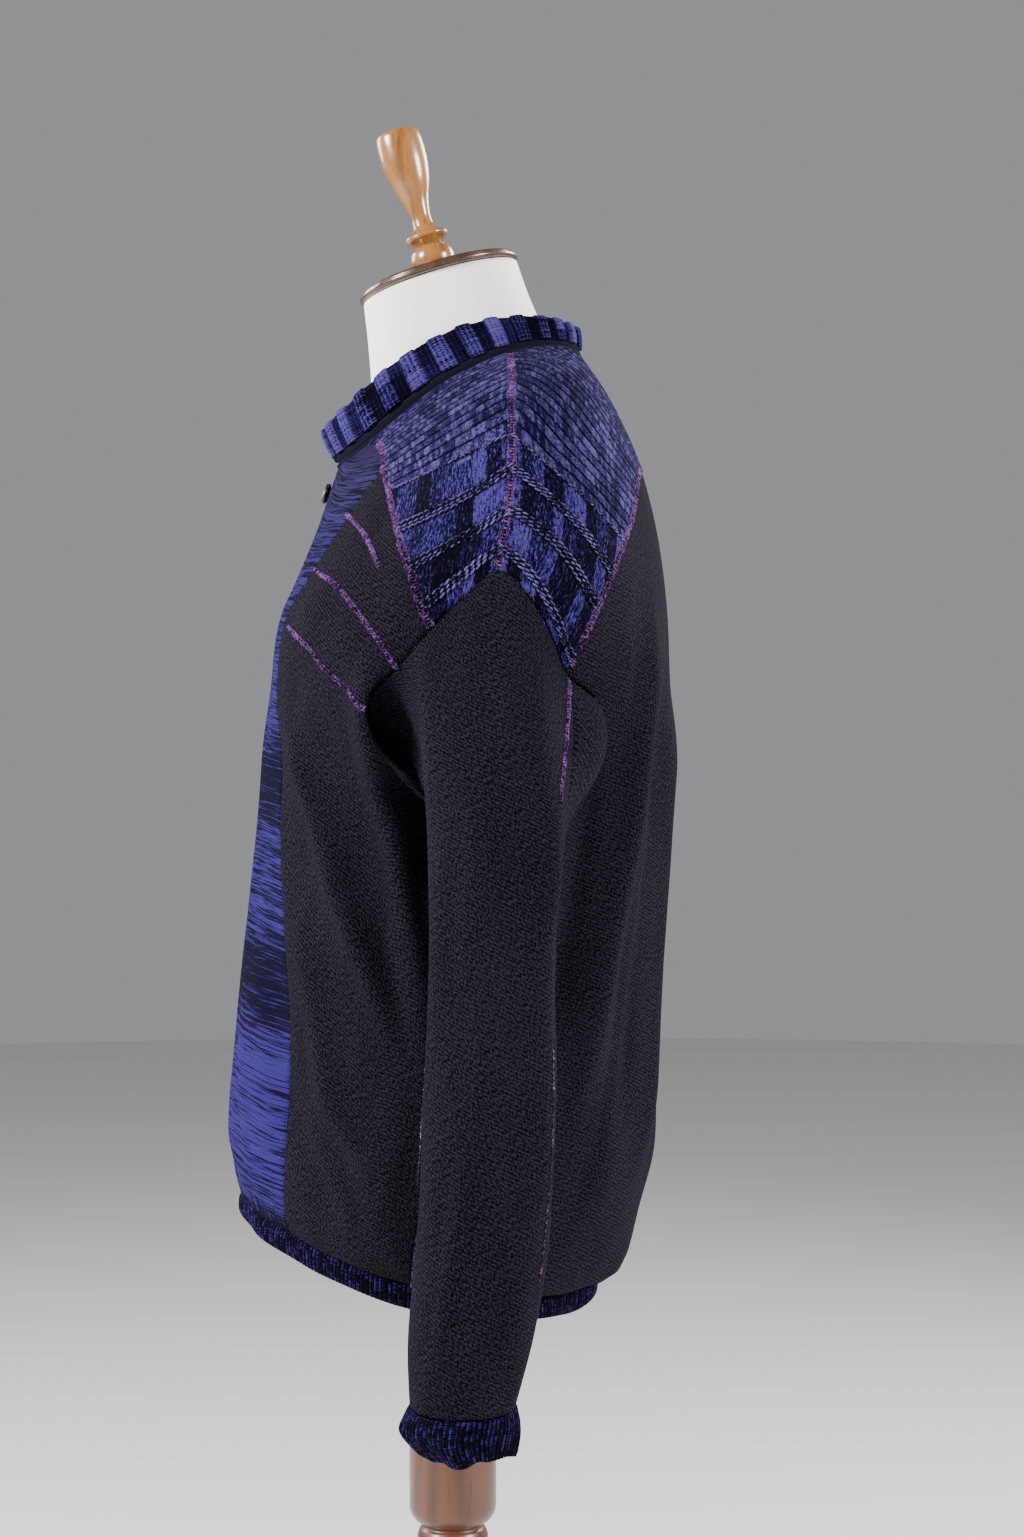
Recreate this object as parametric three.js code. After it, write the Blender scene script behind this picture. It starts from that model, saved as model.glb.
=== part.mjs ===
import * as THREE from 'three';

// A knit sweater on a limbless dress form with a wood stand.
// Millimetres, +Z up, origin under the middle of the base.
// -Y is the wearer's front and +X the wearer's left.

// Cloth walls and seams
const clothWall = 2.2;
const ribWall = 2.6;
const collarWall = 2.4;
const seamGap = 0.36;
const seamInset = 0.27;
const collarRibs = 28;
const collarRibRise = 1.5;
const ribProfile = [[0.04, 0], [0.14, 1], [0.52, 1], [0.62, 0]]; // share of the pitch, rise
const bindingWall = 3.4;
const bindingOuter = 2.04; // how much of it lies outside the collar's middle
const hemHeight = 17;
const hemTuck = 0.25;
const hemClear = 0.1;
const collarOpening = 4.6; // degrees each side of centre front

// Stand
const poleRadius = 33;
const lowerPoleRadius = 19;
const poleTop = 799.6;
const poleShoulder = 566;
const baseRadius = 190;
const baseHeight = 30;
const capTilt = 16.2; // degrees that the neck cap leans forward
const capHeight = 8;

// Sleeves: where the back and front seams lie, in degrees from outermost, how far the
// head leans out of the body, and how far it starts clear of the body's panels
const sleeveBackTurn = 88;
const sleeveFrontTurn = 272;
const sleeveLeanTop = 0.16;
const sleeveLeanUnder = 1.5;
const sleeveStart = 4.2;
const headStartPull = 0.33;
const headEndPull = 0.36;

// Hem and collar
const hemMiddleY = -24;
const collarBow = 1.2;
const bindingShare = 0.18; // share of the collar's height that its foot binding takes
const bindingGap = 0.018;
const collarWaist = 0.6; // share of the collar's height where a row of facets bends
const footClearance = 0.62; // share of the cloth wall that the collar's foot stands clear

// Counts of facets
const cuffRows = 4;
const formFacets = 32;
const rowsSideSeam = 12;
const rowsInsideYoke = 2;
const columnsFront = 10;
const columnsSide = 9;
const columnsBack = 20;
const armholeTop = 5;
const armholeUnder = 6;
const rowsToYoke = rowsSideSeam + armholeUnder;
const capFacets = 28;
const finialFacets = 18;
const poleFacets = 24;
const baseFacets = 36;
const buttonFacets = 20;
const headRows = 5;
const hangRows = 9;

// The garment's rings from the hem band's seam up to the neckline. Each row gives the
// place of centre front, side and centre back, how round the front and back are
// (2 is an ellipse), and how far the front quarters dip.
const levelColumns = ['frontY', 'frontZ', 'sideX', 'sideY', 'sideZ', 'backY', 'backZ',
  'roundFront', 'roundBack', 'dip'];
const levels = [
  [-160, 806, 163, -24, 766, 108, 748, 1.6, 2.1, 0],
  [-163, 816, 175, -23, 771, 129, 756, 1.6, 2.1, 0],
  [-167, 838, 187, -20, 800, 142, 803, 1.6, 2.2, 0],
  [-169, 862, 193, -12, 850, 150, 845, 1.6, 2.3, 0],
  [-166, 905, 196, -8, 900, 152.5, 900, 1.62, 2.35, 0],
  [-158, 990, 198, 0, 990, 155, 990, 1.65, 2.4, 0],
  [-148, 1080, 197, 8, 1070, 161, 1080, 1.8, 2.4, 0],
  [-141, 1145, 200, 15, 1120, 163.5, 1145, 2.1, 2.4, 0],
  [-134, 1190, 214, 25, 1172, 163, 1197, 2.6, 2.35, 0],
  [-127, 1235, 232, 32, 1218, 160, 1250, 2.6, 2.3, 0],
  [-118, 1262, 240, 36, 1262, 155, 1290, 2.1, 2.25, 0],
  [-108, 1290, 237, 42, 1295, 148.5, 1322, 1.7, 2.2, 0],
  [-100, 1312, 228, 45, 1330, 140, 1352, 1.5, 2.1, 2],
  [-94.5, 1329, 204, 45, 1374, 128, 1380, 1.42, 2.05, 4],
  [-90, 1342, 146, 40, 1404, 113, 1410, 1.55, 2, 6],
  [-85, 1356, 78, 14, 1417, 94, 1441, 2, 2, 8],
];

// The dress form's own rings, from its underside to the top of the neck
const formLevels = [
  [-88, 800, 140, 0, 800, 88, 800, 2.1, 2.1, 0],
  [-100, 816, 153, 0, 816, 99, 816, 2.1, 2.1, 0],
  [-104, 880, 160, 0, 880, 104, 880, 2.1, 2.1, 0],
  [-98, 980, 150, 0, 980, 94, 980, 2.1, 2.1, 0],
  [-110, 1080, 160, 2, 1072, 122, 1080, 2.1, 2.2, 0],
  [-125, 1175, 178, 6, 1160, 150, 1180, 2.2, 2.3, 0],
  [-121, 1234, 192, 16, 1222, 154.5, 1245, 2.2, 2.3, 0],
  [-112.5, 1262, 202, 28, 1265, 150.5, 1288, 2, 2.25, 0],
  [-104.2, 1289.4, 209, 36, 1300, 145.4, 1320, 1.7, 2.2, 0],
  [-96.7, 1310.6, 209, 42, 1335, 137.2, 1350.4, 1.5, 2.1, 2],
  [-91.4, 1328.2, 194.5, 44, 1373.5, 126.4, 1378.8, 1.42, 2.05, 4],
  [-87, 1340.8, 143.5, 40, 1402.6, 111.6, 1408, 1.55, 2, 6],
  [-77, 1357, 76, 18, 1415, 88, 1433, 1.9, 2, 6],
  [-66, 1384, 65, 8, 1428, 75, 1447, 2, 2, 2],
  [-62, 1412, 60.5, 2, 1446, 66, 1466, 2, 2, 0],
  [-64, 1446, 59, -4, 1469, 57, 1487, 2, 2, 0],
  [-67.5, 1477.4, 58.5, -9.5, 1494.3, 48.5, 1511.1, 2, 2, 0],
];

// Seams on the wearer's left half: angle round the body in degrees (0 at the side,
// -90 at centre front, 90 at centre back) and level
const panelEdgeSeam = [[-46, 0], [-46, 2], [-47.6, 4], [-51.5, 5], [-56, 5.8], [-59.6, 6.9],
  [-63.5, 7.7], [-66.5, 8.5], [-66.5, 9], [-63, 9.6], [-60.5, 10.5], [-57.6, 11.7], [-54, 12.3],
  [-47.5, 12.8]];
const yokeNeckSeam = [[-50, 15], [-49, 14], [-47.5, 12.8]];
const yokeFrontSeam = [[-47.5, 12.8], [-39.8, 11.7], [-31.9, 10.83], [-20.3, 9.92], [-10.1, 9.07]];
const shoulderSeam = [[22, 15], [14, 14.6], [3, 13.9], [0, 13], [0, 12], [0, 11], [0, 9.9]];
const yokeBackSeam = [[20.2, 8.3], [27.9, 8.97], [37.6, 9.64], [49.7, 10.54], [61.2, 11.4],
  [75, 11.85], [90, 12], [105, 11.85], [118.8, 11.4], [130.3, 10.54], [142.4, 9.64],
  [152.1, 8.97], [159.8, 8.3]];
const sideSeam = [[-1, 0], [-1, 2], [0, 4], [3, 6.85]];

// The armhole: shoulder point, back tip, underarm, front tip and round again
const armhole = [[0, 9.9], [9, 9.4], [15, 8.85], [20.2, 8.3], [31, 7.85], [31, 7.35], [20, 6.98],
  [3, 6.85], [-12, 6.98], [-20, 7.45], [-21.3, 8.1], [-15.7, 8.49], [-10.1, 9.07], [-5.3, 9.53]];
const armholeBackTip = 3;
const armholeUnderarm = 7;
const armholeFrontTip = 12;

// The empty sleeve's rings: height, inner and outer X, front and back Y, roundness
const sleeveRings = [
  [1060, 207, 288, -9, 79, 2.2],
  [1000, 206, 294, -8, 73, 2.2],
  [900, 205, 300, -11, 72, 2.2],
  [826, 204, 301, -16, 69, 2.2],
  [786, 203, 300, -20, 65, 2.2],
  [745, 201, 297, -23, 58, 2.2],
  [702, 199, 291, -22, 47, 2.2],
];
const cuffRings = [
  [701, 199, 291, -22, 47, 2.2],
  [694, 198, 292, -26, 48, 2.1],
  [685, 199, 291, -26, 47, 2],
  [671, 205, 286, -13, 43, 2],
];
const sleeveEnd = sleeveRings.length - 0.05; // the last drop at which a normal is taken
const cuffWaves = 5;
const cuffWaveRise = 3.2;

// Folds of the body: angle and level at the start, middle and end, half width in
// degrees and height, where a trough is below zero
const foldColumns = ['a0', 'l0', 'a1', 'l1', 'a2', 'l2', 'width', 'height'];
const bodyFolds = [
  [-25, 8.4, -22, 6.6, -13, 5.3, 5, 8],
  [-12, 6.7, -7, 5.9, 3, 4.7, 9, -10],
  [-53, 7.3, -35, 5.6, -14, 4.3, 4.5, 5],
  [-38, 7.6, -28, 5.8, -10, 4, 5.5, -5],
  [-47, 5.4, -38, 4.5, -24, 3, 5, 4],
  [-56, 5, -48, 4, -36, 2.6, 6, -3],
  [57, 8.8, 46, 5.8, 35, 3.9, 5.5, 7],
  [38, 7.5, 31, 5.8, 24, 4.3, 7, -12],
  [70, 7.9, 61, 5.6, 50, 3.4, 6, -5],
  [80, 7.4, 74, 5.2, 66, 3, 6, 3.5],
  [16, 4.6, 14, 3.4, 12, 2, 8, 4],
  [-16, 3.4, -14, 2.4, -12, 1.4, 6, 3],
];
const farFoldShift = 3.5;
const farFoldScale = 0.85;

// Folds of the sleeve: turn round the ring (0 outermost, 90 back, 270 front) at its
// top and foot, the height of its top and foot, half width in degrees, height
const sleeveFolds = [
  [-48, -50, 1190, 760, 16, 3.5],
  [14, 22, 1170, 800, 18, -4],
  [62, 58, 1120, 820, 15, 2.5],
  [150, 170, 1060, 760, 26, -6],
  [215, 225, 1050, 740, 22, -5],
];

// Hem band: share of its height down from the seam, bulge
const hemRows = [[0, -1.5], [0.3, 0.8], [0.7, 0.6], [1, -1]];
const collarTop = [-98, 1381, 71, -2, 1446, 93, 1459, 2, 2, 3];

const finialProfile = [[0, 0], [12, 0], [15, 4], [16.8, 11], [15.2, 18], [10, 22], [12.8, 24.5],
  [16, 27], [16, 30], [10.5, 33], [8, 37], [7.6, 45], [9.8, 57], [14.6, 71], [17.4, 86],
  [17.8, 99], [17, 107.5], [15.6, 110.5], [0, 111]];
const capProfile = [[0, 0], [58.5, 0], [61.5, 1.2], [62.5, 3.4], [61.8, 5.6], [59.5, 7.2], [54, 8],
  [0, 8]];
const poleRing = [[lowerPoleRadius, 534], [25, 538], [27, 543], [25, 549], [23, 552], [28, 556]];
const baseProfile = [[0, 0], [baseRadius - 4, 0], [baseRadius, 4], [baseRadius, 16],
  [baseRadius - 6, 22], [120, 26], [60, baseHeight], [0, baseHeight]];
const buttonRadius = 8;
const buttonThickness = 4;
const buttonLevel = 13.35;
const buttonSeat = 0.3;
const buttonProfile = [[0, 0], [6.5, 0], [buttonRadius, 1.2], [buttonRadius, 3],
  [6.6, buttonThickness], [4.6, 3.2], [0, 3.2]];

const degree = Math.PI / 180;

function catmull(rows, t) {
  const i = Math.min(Math.max(Math.floor(t), 0), rows.length - 2);
  const f = t - i;
  const b = rows[i];
  const c = rows[i + 1];
  const a = rows[i - 1] ?? b.map((v, k) => 2 * v - c[k]);
  const d = rows[i + 2] ?? c.map((v, k) => 2 * v - b[k]);
  return b.map((v, k) => 0.5 * (2 * v + (c[k] - a[k]) * f
    + (2 * a[k] - 5 * v + 4 * c[k] - d[k]) * f * f
    + (3 * v - a[k] - 3 * c[k] + d[k]) * f * f * f));
}

function loopSpline(rows, t) {
  const n = rows.length;
  const i = Math.floor(t);
  const around = [-1, 0, 1, 2].map((k) => rows[(i + k + 2 * n) % n]);
  return catmull(around, 1 + t - i);
}

function power(value, exponent) {
  return Math.sign(value) * Math.abs(value) ** exponent;
}

// A point of a ring surface at an angle in degrees and a level
function ringPoint(rows, angle, level) {
  const row = catmull(rows, Math.min(Math.max(level, 0), rows.length - 1));
  const r = Object.fromEntries(levelColumns.map((name, k) => [name, row[k]]));
  const c = Math.cos(angle * degree);
  const s = Math.sin(angle * degree);
  const front = s < 0;
  const round = 2 / (front ? r.roundFront : r.roundBack);
  const along = power(s, round);
  const depth = front ? r.sideY - r.frontY : r.backY - r.sideY;
  const slope = (r.backZ - r.frontZ) / 2;
  const bow = (r.backZ + r.frontZ) / 2 - r.sideZ;
  const dip = front ? r.dip * Math.sin(2 * angle * degree) ** 2 : 0;
  return new THREE.Vector3(r.sideX * power(c, round), r.sideY + depth * along,
    r.sideZ + slope * along + bow * along * along - dip);
}

function surfaceNormal(point, u, v, du, dv) {
  const across = point(u + du, v).sub(point(u - du, v));
  const up = point(u, v + dv).sub(point(u, v - dv));
  return across.cross(up).normalize();
}

function bump(distance) {
  return Math.exp(-distance * distance);
}

function fade(t) {
  const f = Math.min(Math.max(t, 0), 1);
  return f * f * (3 - 2 * f);
}

// Height of the folds at a place on the body, a little different on the two sides
function bodyFoldHeight(angle, level) {
  const far = Math.cos(angle * degree) < 0;
  let a = far ? 180 - angle : angle;
  if (a > 180) a -= 360;
  return bodyFolds.reduce((sum, row) => {
    const r = Object.fromEntries(foldColumns.map((name, k) => [name, row[k]]));
    const shift = far ? farFoldShift * Math.sin(r.a0) : 0;
    const f = (r.l0 - level) / (r.l0 - r.l2);
    const middle = (r.l0 - r.l1) / (r.l0 - r.l2);
    const line = f < middle
      ? r.a0 + (r.a1 - r.a0) * (f / middle)
      : r.a1 + (r.a2 - r.a1) * ((f - middle) / (1 - middle));
    const ends = fade(f / 0.3 + 0.35) * fade((1 - f) / 0.35 + 0.35);
    const height = r.height * (far ? farFoldScale : 1);
    return sum + height * bump((a - line - shift) / r.width) * ends;
  }, 0);
}

function bodyPoint(angle, level) {
  const base = (a, l) => ringPoint(levels, a, l);
  const out = surfaceNormal(base, angle, Math.min(Math.max(level, 0.03), 14.97), 0.7, 0.03);
  return base(angle, level).addScaledVector(out, bodyFoldHeight(angle, level));
}

function bodyNormal(angle, level) {
  return surfaceNormal(bodyPoint, angle, Math.min(Math.max(level, 0.05), 14.95), 0.7, 0.04);
}

// Points evenly spread along a seam, as [angle, level]
function spread(seam, count) {
  const fine = 240;
  const places = Array.from({ length: fine + 1 }, (_, i) => seam(i / fine));
  const run = [0];
  for (let i = 1; i <= fine; i += 1) {
    const a = bodyPoint(...places[i - 1]);
    run.push(run[i - 1] + a.distanceTo(bodyPoint(...places[i])));
  }
  return Array.from({ length: count + 1 }, (_, i) => {
    const goal = (run[fine] * i) / count;
    const k = Math.max(run.findIndex((d) => d >= goal - 1e-9), 1);
    const f = (goal - run[k - 1]) / (run[k] - run[k - 1]);
    return places[k - 1].map((v, n) => v + (places[k][n] - v) * f);
  });
}

function seamOf(rows, count) {
  return spread((t) => catmull(rows, t * (rows.length - 1)), count);
}

function armholePart(from, to, count) {
  return spread((t) => loopSpline(armhole, from + (to - from) * t), count);
}

function mirrored(seam) {
  return seam.map(([angle, level]) => [180 - angle, level]);
}

function join(...seams) {
  return seams.reduce((all, seam) => all.concat(seam.slice(1)));
}

function reversed(seam) {
  return [...seam].reverse();
}

// A patch of [angle, level] places between four seams that meet at their ends
function patch(bottom, top, left, right) {
  const m = left.length - 1;
  const n = bottom.length - 1;
  return left.map((_, i) => bottom.map((__, j) => {
    const s = j / n;
    const t = i / m;
    return [0, 1].map((k) => (1 - t) * bottom[j][k] + t * top[j][k]
      + (1 - s) * left[i][k] + s * right[i][k]
      - (1 - s) * (1 - t) * bottom[0][k] - s * (1 - t) * bottom[n][k]
      - (1 - s) * t * top[0][k] - s * t * top[n][k]);
  }));
}

// Draws the outer row and column of a grid in from its seams
function drawIn(grid, closed) {
  const m = grid.length - 1;
  const n = grid[0].length - 1;
  const moved = grid.map((row) => row.map((p) => p.clone()));
  const towards = (i, j, k, l) => {
    const step = grid[k][l].clone().sub(grid[i][j]).normalize();
    moved[i][j].addScaledVector(step, seamInset);
  };
  for (let j = 0; j <= n; j += 1) {
    towards(0, j, 1, j);
    towards(m, j, m - 1, j);
  }
  if (!closed) {
    for (let i = 0; i <= m; i += 1) {
      towards(i, 0, i, 1);
      towards(i, n, i, n - 1);
    }
  }
  return moved;
}

// A closed solid between an outer and an inner grid of points
function wall(outer, inner, closed) {
  const m = outer.length - 1;
  const n = closed ? outer[0].length : outer[0].length - 1;
  const width = outer[0].length;
  const positions = [];
  [outer, inner].flat(2).forEach((p) => positions.push(p.x, p.y, p.z));
  const at = (side, i, j) => side * (m + 1) * width + i * width + (j % width);
  const index = [];
  const quad = (a, b, c, d) => index.push(a, b, c, a, c, d);
  for (let i = 0; i < m; i += 1) {
    for (let j = 0; j < n; j += 1) {
      quad(at(0, i, j), at(0, i, j + 1), at(0, i + 1, j + 1), at(0, i + 1, j));
      quad(at(1, i, j), at(1, i + 1, j), at(1, i + 1, j + 1), at(1, i, j + 1));
    }
  }
  for (let j = 0; j < n; j += 1) {
    quad(at(1, 0, j), at(1, 0, j + 1), at(0, 0, j + 1), at(0, 0, j));
    quad(at(0, m, j), at(0, m, j + 1), at(1, m, j + 1), at(1, m, j));
  }
  if (!closed) {
    for (let i = 0; i < m; i += 1) {
      quad(at(0, i, 0), at(0, i + 1, 0), at(1, i + 1, 0), at(1, i, 0));
      quad(at(1, i, n), at(1, i + 1, n), at(0, i + 1, n), at(0, i, n));
    }
  }
  const geometry = new THREE.BufferGeometry();
  geometry.setAttribute('position', new THREE.Float32BufferAttribute(positions, 3));
  geometry.setIndex(facingOut(positions, index));
  return geometry;
}

function facingOut(positions, index) {
  let volume = 0;
  const corner = (k) => new THREE.Vector3().fromArray(positions, 3 * index[k]);
  for (let k = 0; k < index.length; k += 3) {
    volume += corner(k).dot(corner(k + 1).cross(corner(k + 2)));
  }
  if (volume > 0) return index;
  return index.map((_, k) => index[k - (k % 3) + [0, 2, 1][k % 3]]);
}

function offsetGrid(points, normals, distance) {
  return points.map((row, i) => row.map((p, j) => p.clone().addScaledVector(normals[i][j], distance)));
}

function bodyPiece(places) {
  const points = drawIn(places.map((row) => row.map((p) => bodyPoint(...p))), false);
  const normals = places.map((row) => row.map((p) => bodyNormal(...p)));
  const outer = offsetGrid(points, normals, clothWall / 2);
  const inner = offsetGrid(points, normals, -clothWall / 2);
  return wall(outer, inner, false);
}

// Materials
const colours = {
  blueMarl: [0x3f3f8c, 0.9],
  charcoal: [0x1d1c24, 0.95],
  blockKnit: [0x2f3162, 0.92],
  ribKnit: [0x30306c, 0.92],
  binding: [0x14141f, 0.9],
  horn: [0x2a2118, 0.4],
  formCloth: [0xe9e2d6, 0.85],
  darkWood: [0x3a2016, 0.35],
  honeyWood: [0x8a5526, 0.3],
  poleWood: [0x6d3a1a, 0.35],
  baseWood: [0x5a3018, 0.4],
};
const group = new THREE.Group();

function add(name, geometry, colour) {
  const [hex, roughness] = colours[colour];
  const material = new THREE.MeshStandardMaterial({ color: hex, roughness, metalness: 0 });
  const mesh = new THREE.Mesh(geometry, material);
  mesh.name = name;
  group.add(mesh);
  return mesh;
}

// Seams that neighbouring pieces share
const panelEdge = seamOf(panelEdgeSeam, rowsToYoke);
const neckToPanel = seamOf(yokeNeckSeam, rowsInsideYoke);
const yokeFront = seamOf(yokeFrontSeam, columnsSide);
const shoulder = seamOf(shoulderSeam, rowsInsideYoke + columnsSide);
const yokeBack = seamOf(yokeBackSeam, columnsBack);
const side = seamOf(sideSeam, rowsSideSeam);
const farSide = 180 - side[0][0];
const neckFrontAngle = yokeNeckSeam[0][0];
const neckShoulderAngle = shoulderSeam[0][0];
const neckline = levels.length - 1;
const backTop = armholePart(0, armholeBackTip, armholeTop);
const backUnder = armholePart(armholeBackTip, armholeUnderarm, armholeUnder);
const frontUnder = armholePart(armholeUnderarm, armholeFrontTip, armholeUnder);
const frontTop = armholePart(armholeFrontTip, armhole.length, armholeTop);

// A stretch of hem or neckline between two angles
function ringRun(from, to, level, count) {
  return spread((t) => [from + (to - from) * t, level], count);
}

function frontPanel() {
  const rightEdge = join(panelEdge, reversed(neckToPanel));
  const leftEdge = rightEdge.map(([angle, level]) => [-180 - angle, level]);
  const bottom = ringRun(-180 - panelEdge[0][0], panelEdge[0][0], 0, columnsFront);
  const top = ringRun(-180 - neckFrontAngle, neckFrontAngle, neckline, columnsFront);
  return patch(bottom, top, leftEdge, rightEdge);
}

function sideFront() {
  const bottom = ringRun(panelEdge[0][0], side[0][0], 0, columnsSide);
  return patch(bottom, yokeFront, panelEdge, join(side, frontUnder));
}

function frontYoke() {
  const inner = join(neckToPanel, yokeFront);
  return patch(ringRun(neckFrontAngle, neckShoulderAngle, neckline, armholeTop), frontTop, inner, shoulder);
}

function backYoke() {
  const lower = join(backTop, yokeBack, mirrored(reversed(backTop)));
  const top = ringRun(neckShoulderAngle, 180 - neckShoulderAngle, neckline, lower.length - 1);
  return patch(lower, top, reversed(shoulder), mirrored(reversed(shoulder)));
}

function backPanel() {
  const near = join(side, reversed(backUnder));
  return patch(ringRun(side[0][0], farSide, 0, columnsBack), yokeBack, near, mirrored(near));
}

// The sleeve, from the armhole (drop 0) to the first hanging ring (1) and on down
const armPlaces = join(backTop, backUnder, frontUnder, frontTop);
const armTurns = armPlaces.map((_, i) => {
  const half = armholeTop;
  const whole = armPlaces.length - 1;
  if (i <= half) return (i / half) * sleeveBackTurn;
  if (i >= whole - half) return 360 - ((whole - i) / half) * (360 - sleeveFrontTurn);
  return sleeveBackTurn + ((i - half) / (whole - 2 * half)) * (sleeveFrontTurn - sleeveBackTurn);
});

function ringSection(row, turn) {
  const [z, inner, outer, front, back, round] = row;
  const c = power(Math.cos(turn * degree), 2 / round);
  const s = power(Math.sin(turn * degree), 2 / round);
  return new THREE.Vector3((inner + outer) / 2 + ((outer - inner) / 2) * c,
    (front + back) / 2 + ((back - front) / 2) * s, z);
}

function sleeveFoldHeight(turn, z) {
  return sleeveFolds.reduce((sum, [turnTop, turnFoot, zTop, zFoot, width, height]) => {
    const f = (zTop - z) / (zTop - zFoot);
    let away = turn - (turnTop + (turnFoot - turnTop) * f);
    away = ((away + 540) % 360) - 180;
    return sum + height * bump(away / width) * fade(f / 0.25) * fade((1 - f) / 0.25);
  }, 0);
}

// Sleeve point at a place round the armhole (a whole number is a facet's edge) and a drop
function plainSleevePoint(column, drop) {
  const whole = armPlaces.length - 1;
  const i = Math.floor(column);
  const f = column - i;
  const from = ((i % whole) + whole) % whole;
  const turn = armTurns[from] + (armTurns[from + 1] - armTurns[from]) * f;
  const low = catmull(sleeveRings, Math.max(drop - 1, 0));
  const ring = ringSection(low, turn);
  if (drop >= 1) return { point: ring, turn };
  const place = armPlaces[from].map((v, n) => v + (armPlaces[from + 1][n] - v) * f);
  const out = bodyNormal(...place);
  const down = bodyPoint(place[0], place[1] - 0.03).sub(bodyPoint(place[0], place[1] + 0.03)).normalize();
  const lean = sleeveLeanTop + sleeveLeanUnder * (1 - Math.cos(turn * degree)) / 2;
  const away = down.addScaledVector(out, lean).normalize();
  const stand = sleeveStart * Math.abs(away.dot(out)) + seamGap / 2;
  const start = bodyPoint(...place).addScaledVector(away, stand);
  const reach = start.distanceTo(ring);
  const first = start.clone().addScaledVector(away, reach * headStartPull);
  const second = ring.clone().add(new THREE.Vector3(0, 0, reach * headEndPull));
  const head = new THREE.CubicBezierCurve3(start, first, second, ring);
  return { point: head.getPoint(Math.max(drop, 0)), turn };
}

function sleevePoint(column, drop) {
  const { point, turn } = plainSleevePoint(column, drop);
  const plain = (u, v) => plainSleevePoint(u, v).point;
  const out = surfaceNormal(plain, column, Math.max(drop, 0.03), 0.05, 0.03);
  return point.addScaledVector(out, sleeveFoldHeight(turn, point.z));
}

function sleevePiece(fromColumn, count, mirror) {
  const drops = Array.from({ length: headRows + hangRows + 1 }, (_, i) => (i < headRows
    ? i / headRows
    : 1 + ((i - headRows) * (sleeveRings.length - 1)) / hangRows));
  const grid = (make) => drops.map((drop) => Array.from({ length: count + 1 },
    (_, j) => make(fromColumn + j, drop)));
  const points = drawIn(grid(sleevePoint), false);
  const normals = grid((column, drop) => {
    const inside = Math.min(Math.max(drop, 0.04), sleeveEnd);
    return surfaceNormal(sleevePoint, column, inside, 0.05, 0.03);
  });
  const flip = (g) => g.map((row) => row.map((p) => (mirror ? new THREE.Vector3(-p.x, p.y, p.z) : p)));
  const outer = offsetGrid(points, normals, clothWall / 2);
  const inner = offsetGrid(points, normals, -clothWall / 2);
  return wall(flip(outer), flip(inner), false);
}

function cuffPiece(mirror) {
  const columns = armPlaces.length - 1;
  const last = cuffRings.length - 1;
  const grid = (lift) => Array.from({ length: cuffRows + 1 }, (_, i) => {
    const t = (i / cuffRows) * last;
    const row = catmull(cuffRings, t);
    return Array.from({ length: columns }, (__, j) => {
      const turn = (360 * j) / columns;
      const wave = cuffWaveRise * (t / last) * Math.cos(cuffWaves * turn * degree + (mirror ? 1 : 0));
      const p = ringSection(row, turn);
      const middle = new THREE.Vector3((row[1] + row[2]) / 2, (row[3] + row[4]) / 2, p.z);
      p.addScaledVector(p.clone().sub(middle).normalize(), lift + wave);
      return mirror ? new THREE.Vector3(-p.x, p.y, p.z) : p;
    });
  });
  return wall(grid(ribWall / 2), grid(-ribWall / 2), true);
}

// The hem band hangs from the first ring, and its facets meet those of the panels
function hemPiece() {
  const runs = [[-180 - panelEdge[0][0], panelEdge[0][0], columnsFront],
    [panelEdge[0][0], side[0][0], columnsSide], [side[0][0], farSide, columnsBack],
    [farSide, 180 - panelEdge[0][0], columnsSide]];
  const around = join(...runs.map(([from, to, count]) => ringRun(from, to, 0, count))).slice(0, -1);
  const grid = (lift) => hemRows.map(([down, bulge]) => around.map(([angle]) => {
    const p = bodyPoint(angle, 0);
    const out = new THREE.Vector3(p.x, p.y - hemMiddleY, 0).normalize();
    const clear = (clothWall / 2 + hemClear) * Math.abs(bodyNormal(angle, 0).z) - hemTuck;
    p.z -= clear + down * hemHeight;
    return p.addScaledVector(out, lift + bulge);
  }));
  return wall(grid(ribWall / 2), grid(-ribWall / 2), true);
}

// The stand collar: a place round the neck and a share of the way from foot to top
function collarPoint(angle, share) {
  const foot = bodyPoint(angle, neckline);
  const top = ringPoint([collarTop, collarTop], angle, 0);
  const rise = top.clone().sub(foot);
  const facing = Math.abs(bodyNormal(angle, neckline).dot(rise.clone().normalize()));
  const clear = (seamGap + clothWall * footClearance * facing) / rise.length();
  const bow = collarBow * Math.sin(Math.PI * share);
  const out = new THREE.Vector3(foot.x, foot.y, 0).normalize();
  return foot.addScaledVector(rise, clear + (1 - clear) * share).addScaledVector(out, bow);
}

function collarNormal(angle, share) {
  return surfaceNormal(collarPoint, angle, Math.min(Math.max(share, 0.03), 0.97), 1, 0.02);
}

function collarPiece(angles, shares, outerLift, innerLift) {
  const points = shares.map((share) => angles.map(([angle]) => collarPoint(angle, share)));
  const normals = shares.map((share) => angles.map(([angle]) => collarNormal(angle, share)));
  const outer = points.map((row, i) => row.map((p, j) => p.clone()
    .addScaledVector(normals[i][j], outerLift + angles[j][1] * collarRibRise)));
  return wall(outer, offsetGrid(points, normals, innerLift), false);
}

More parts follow.
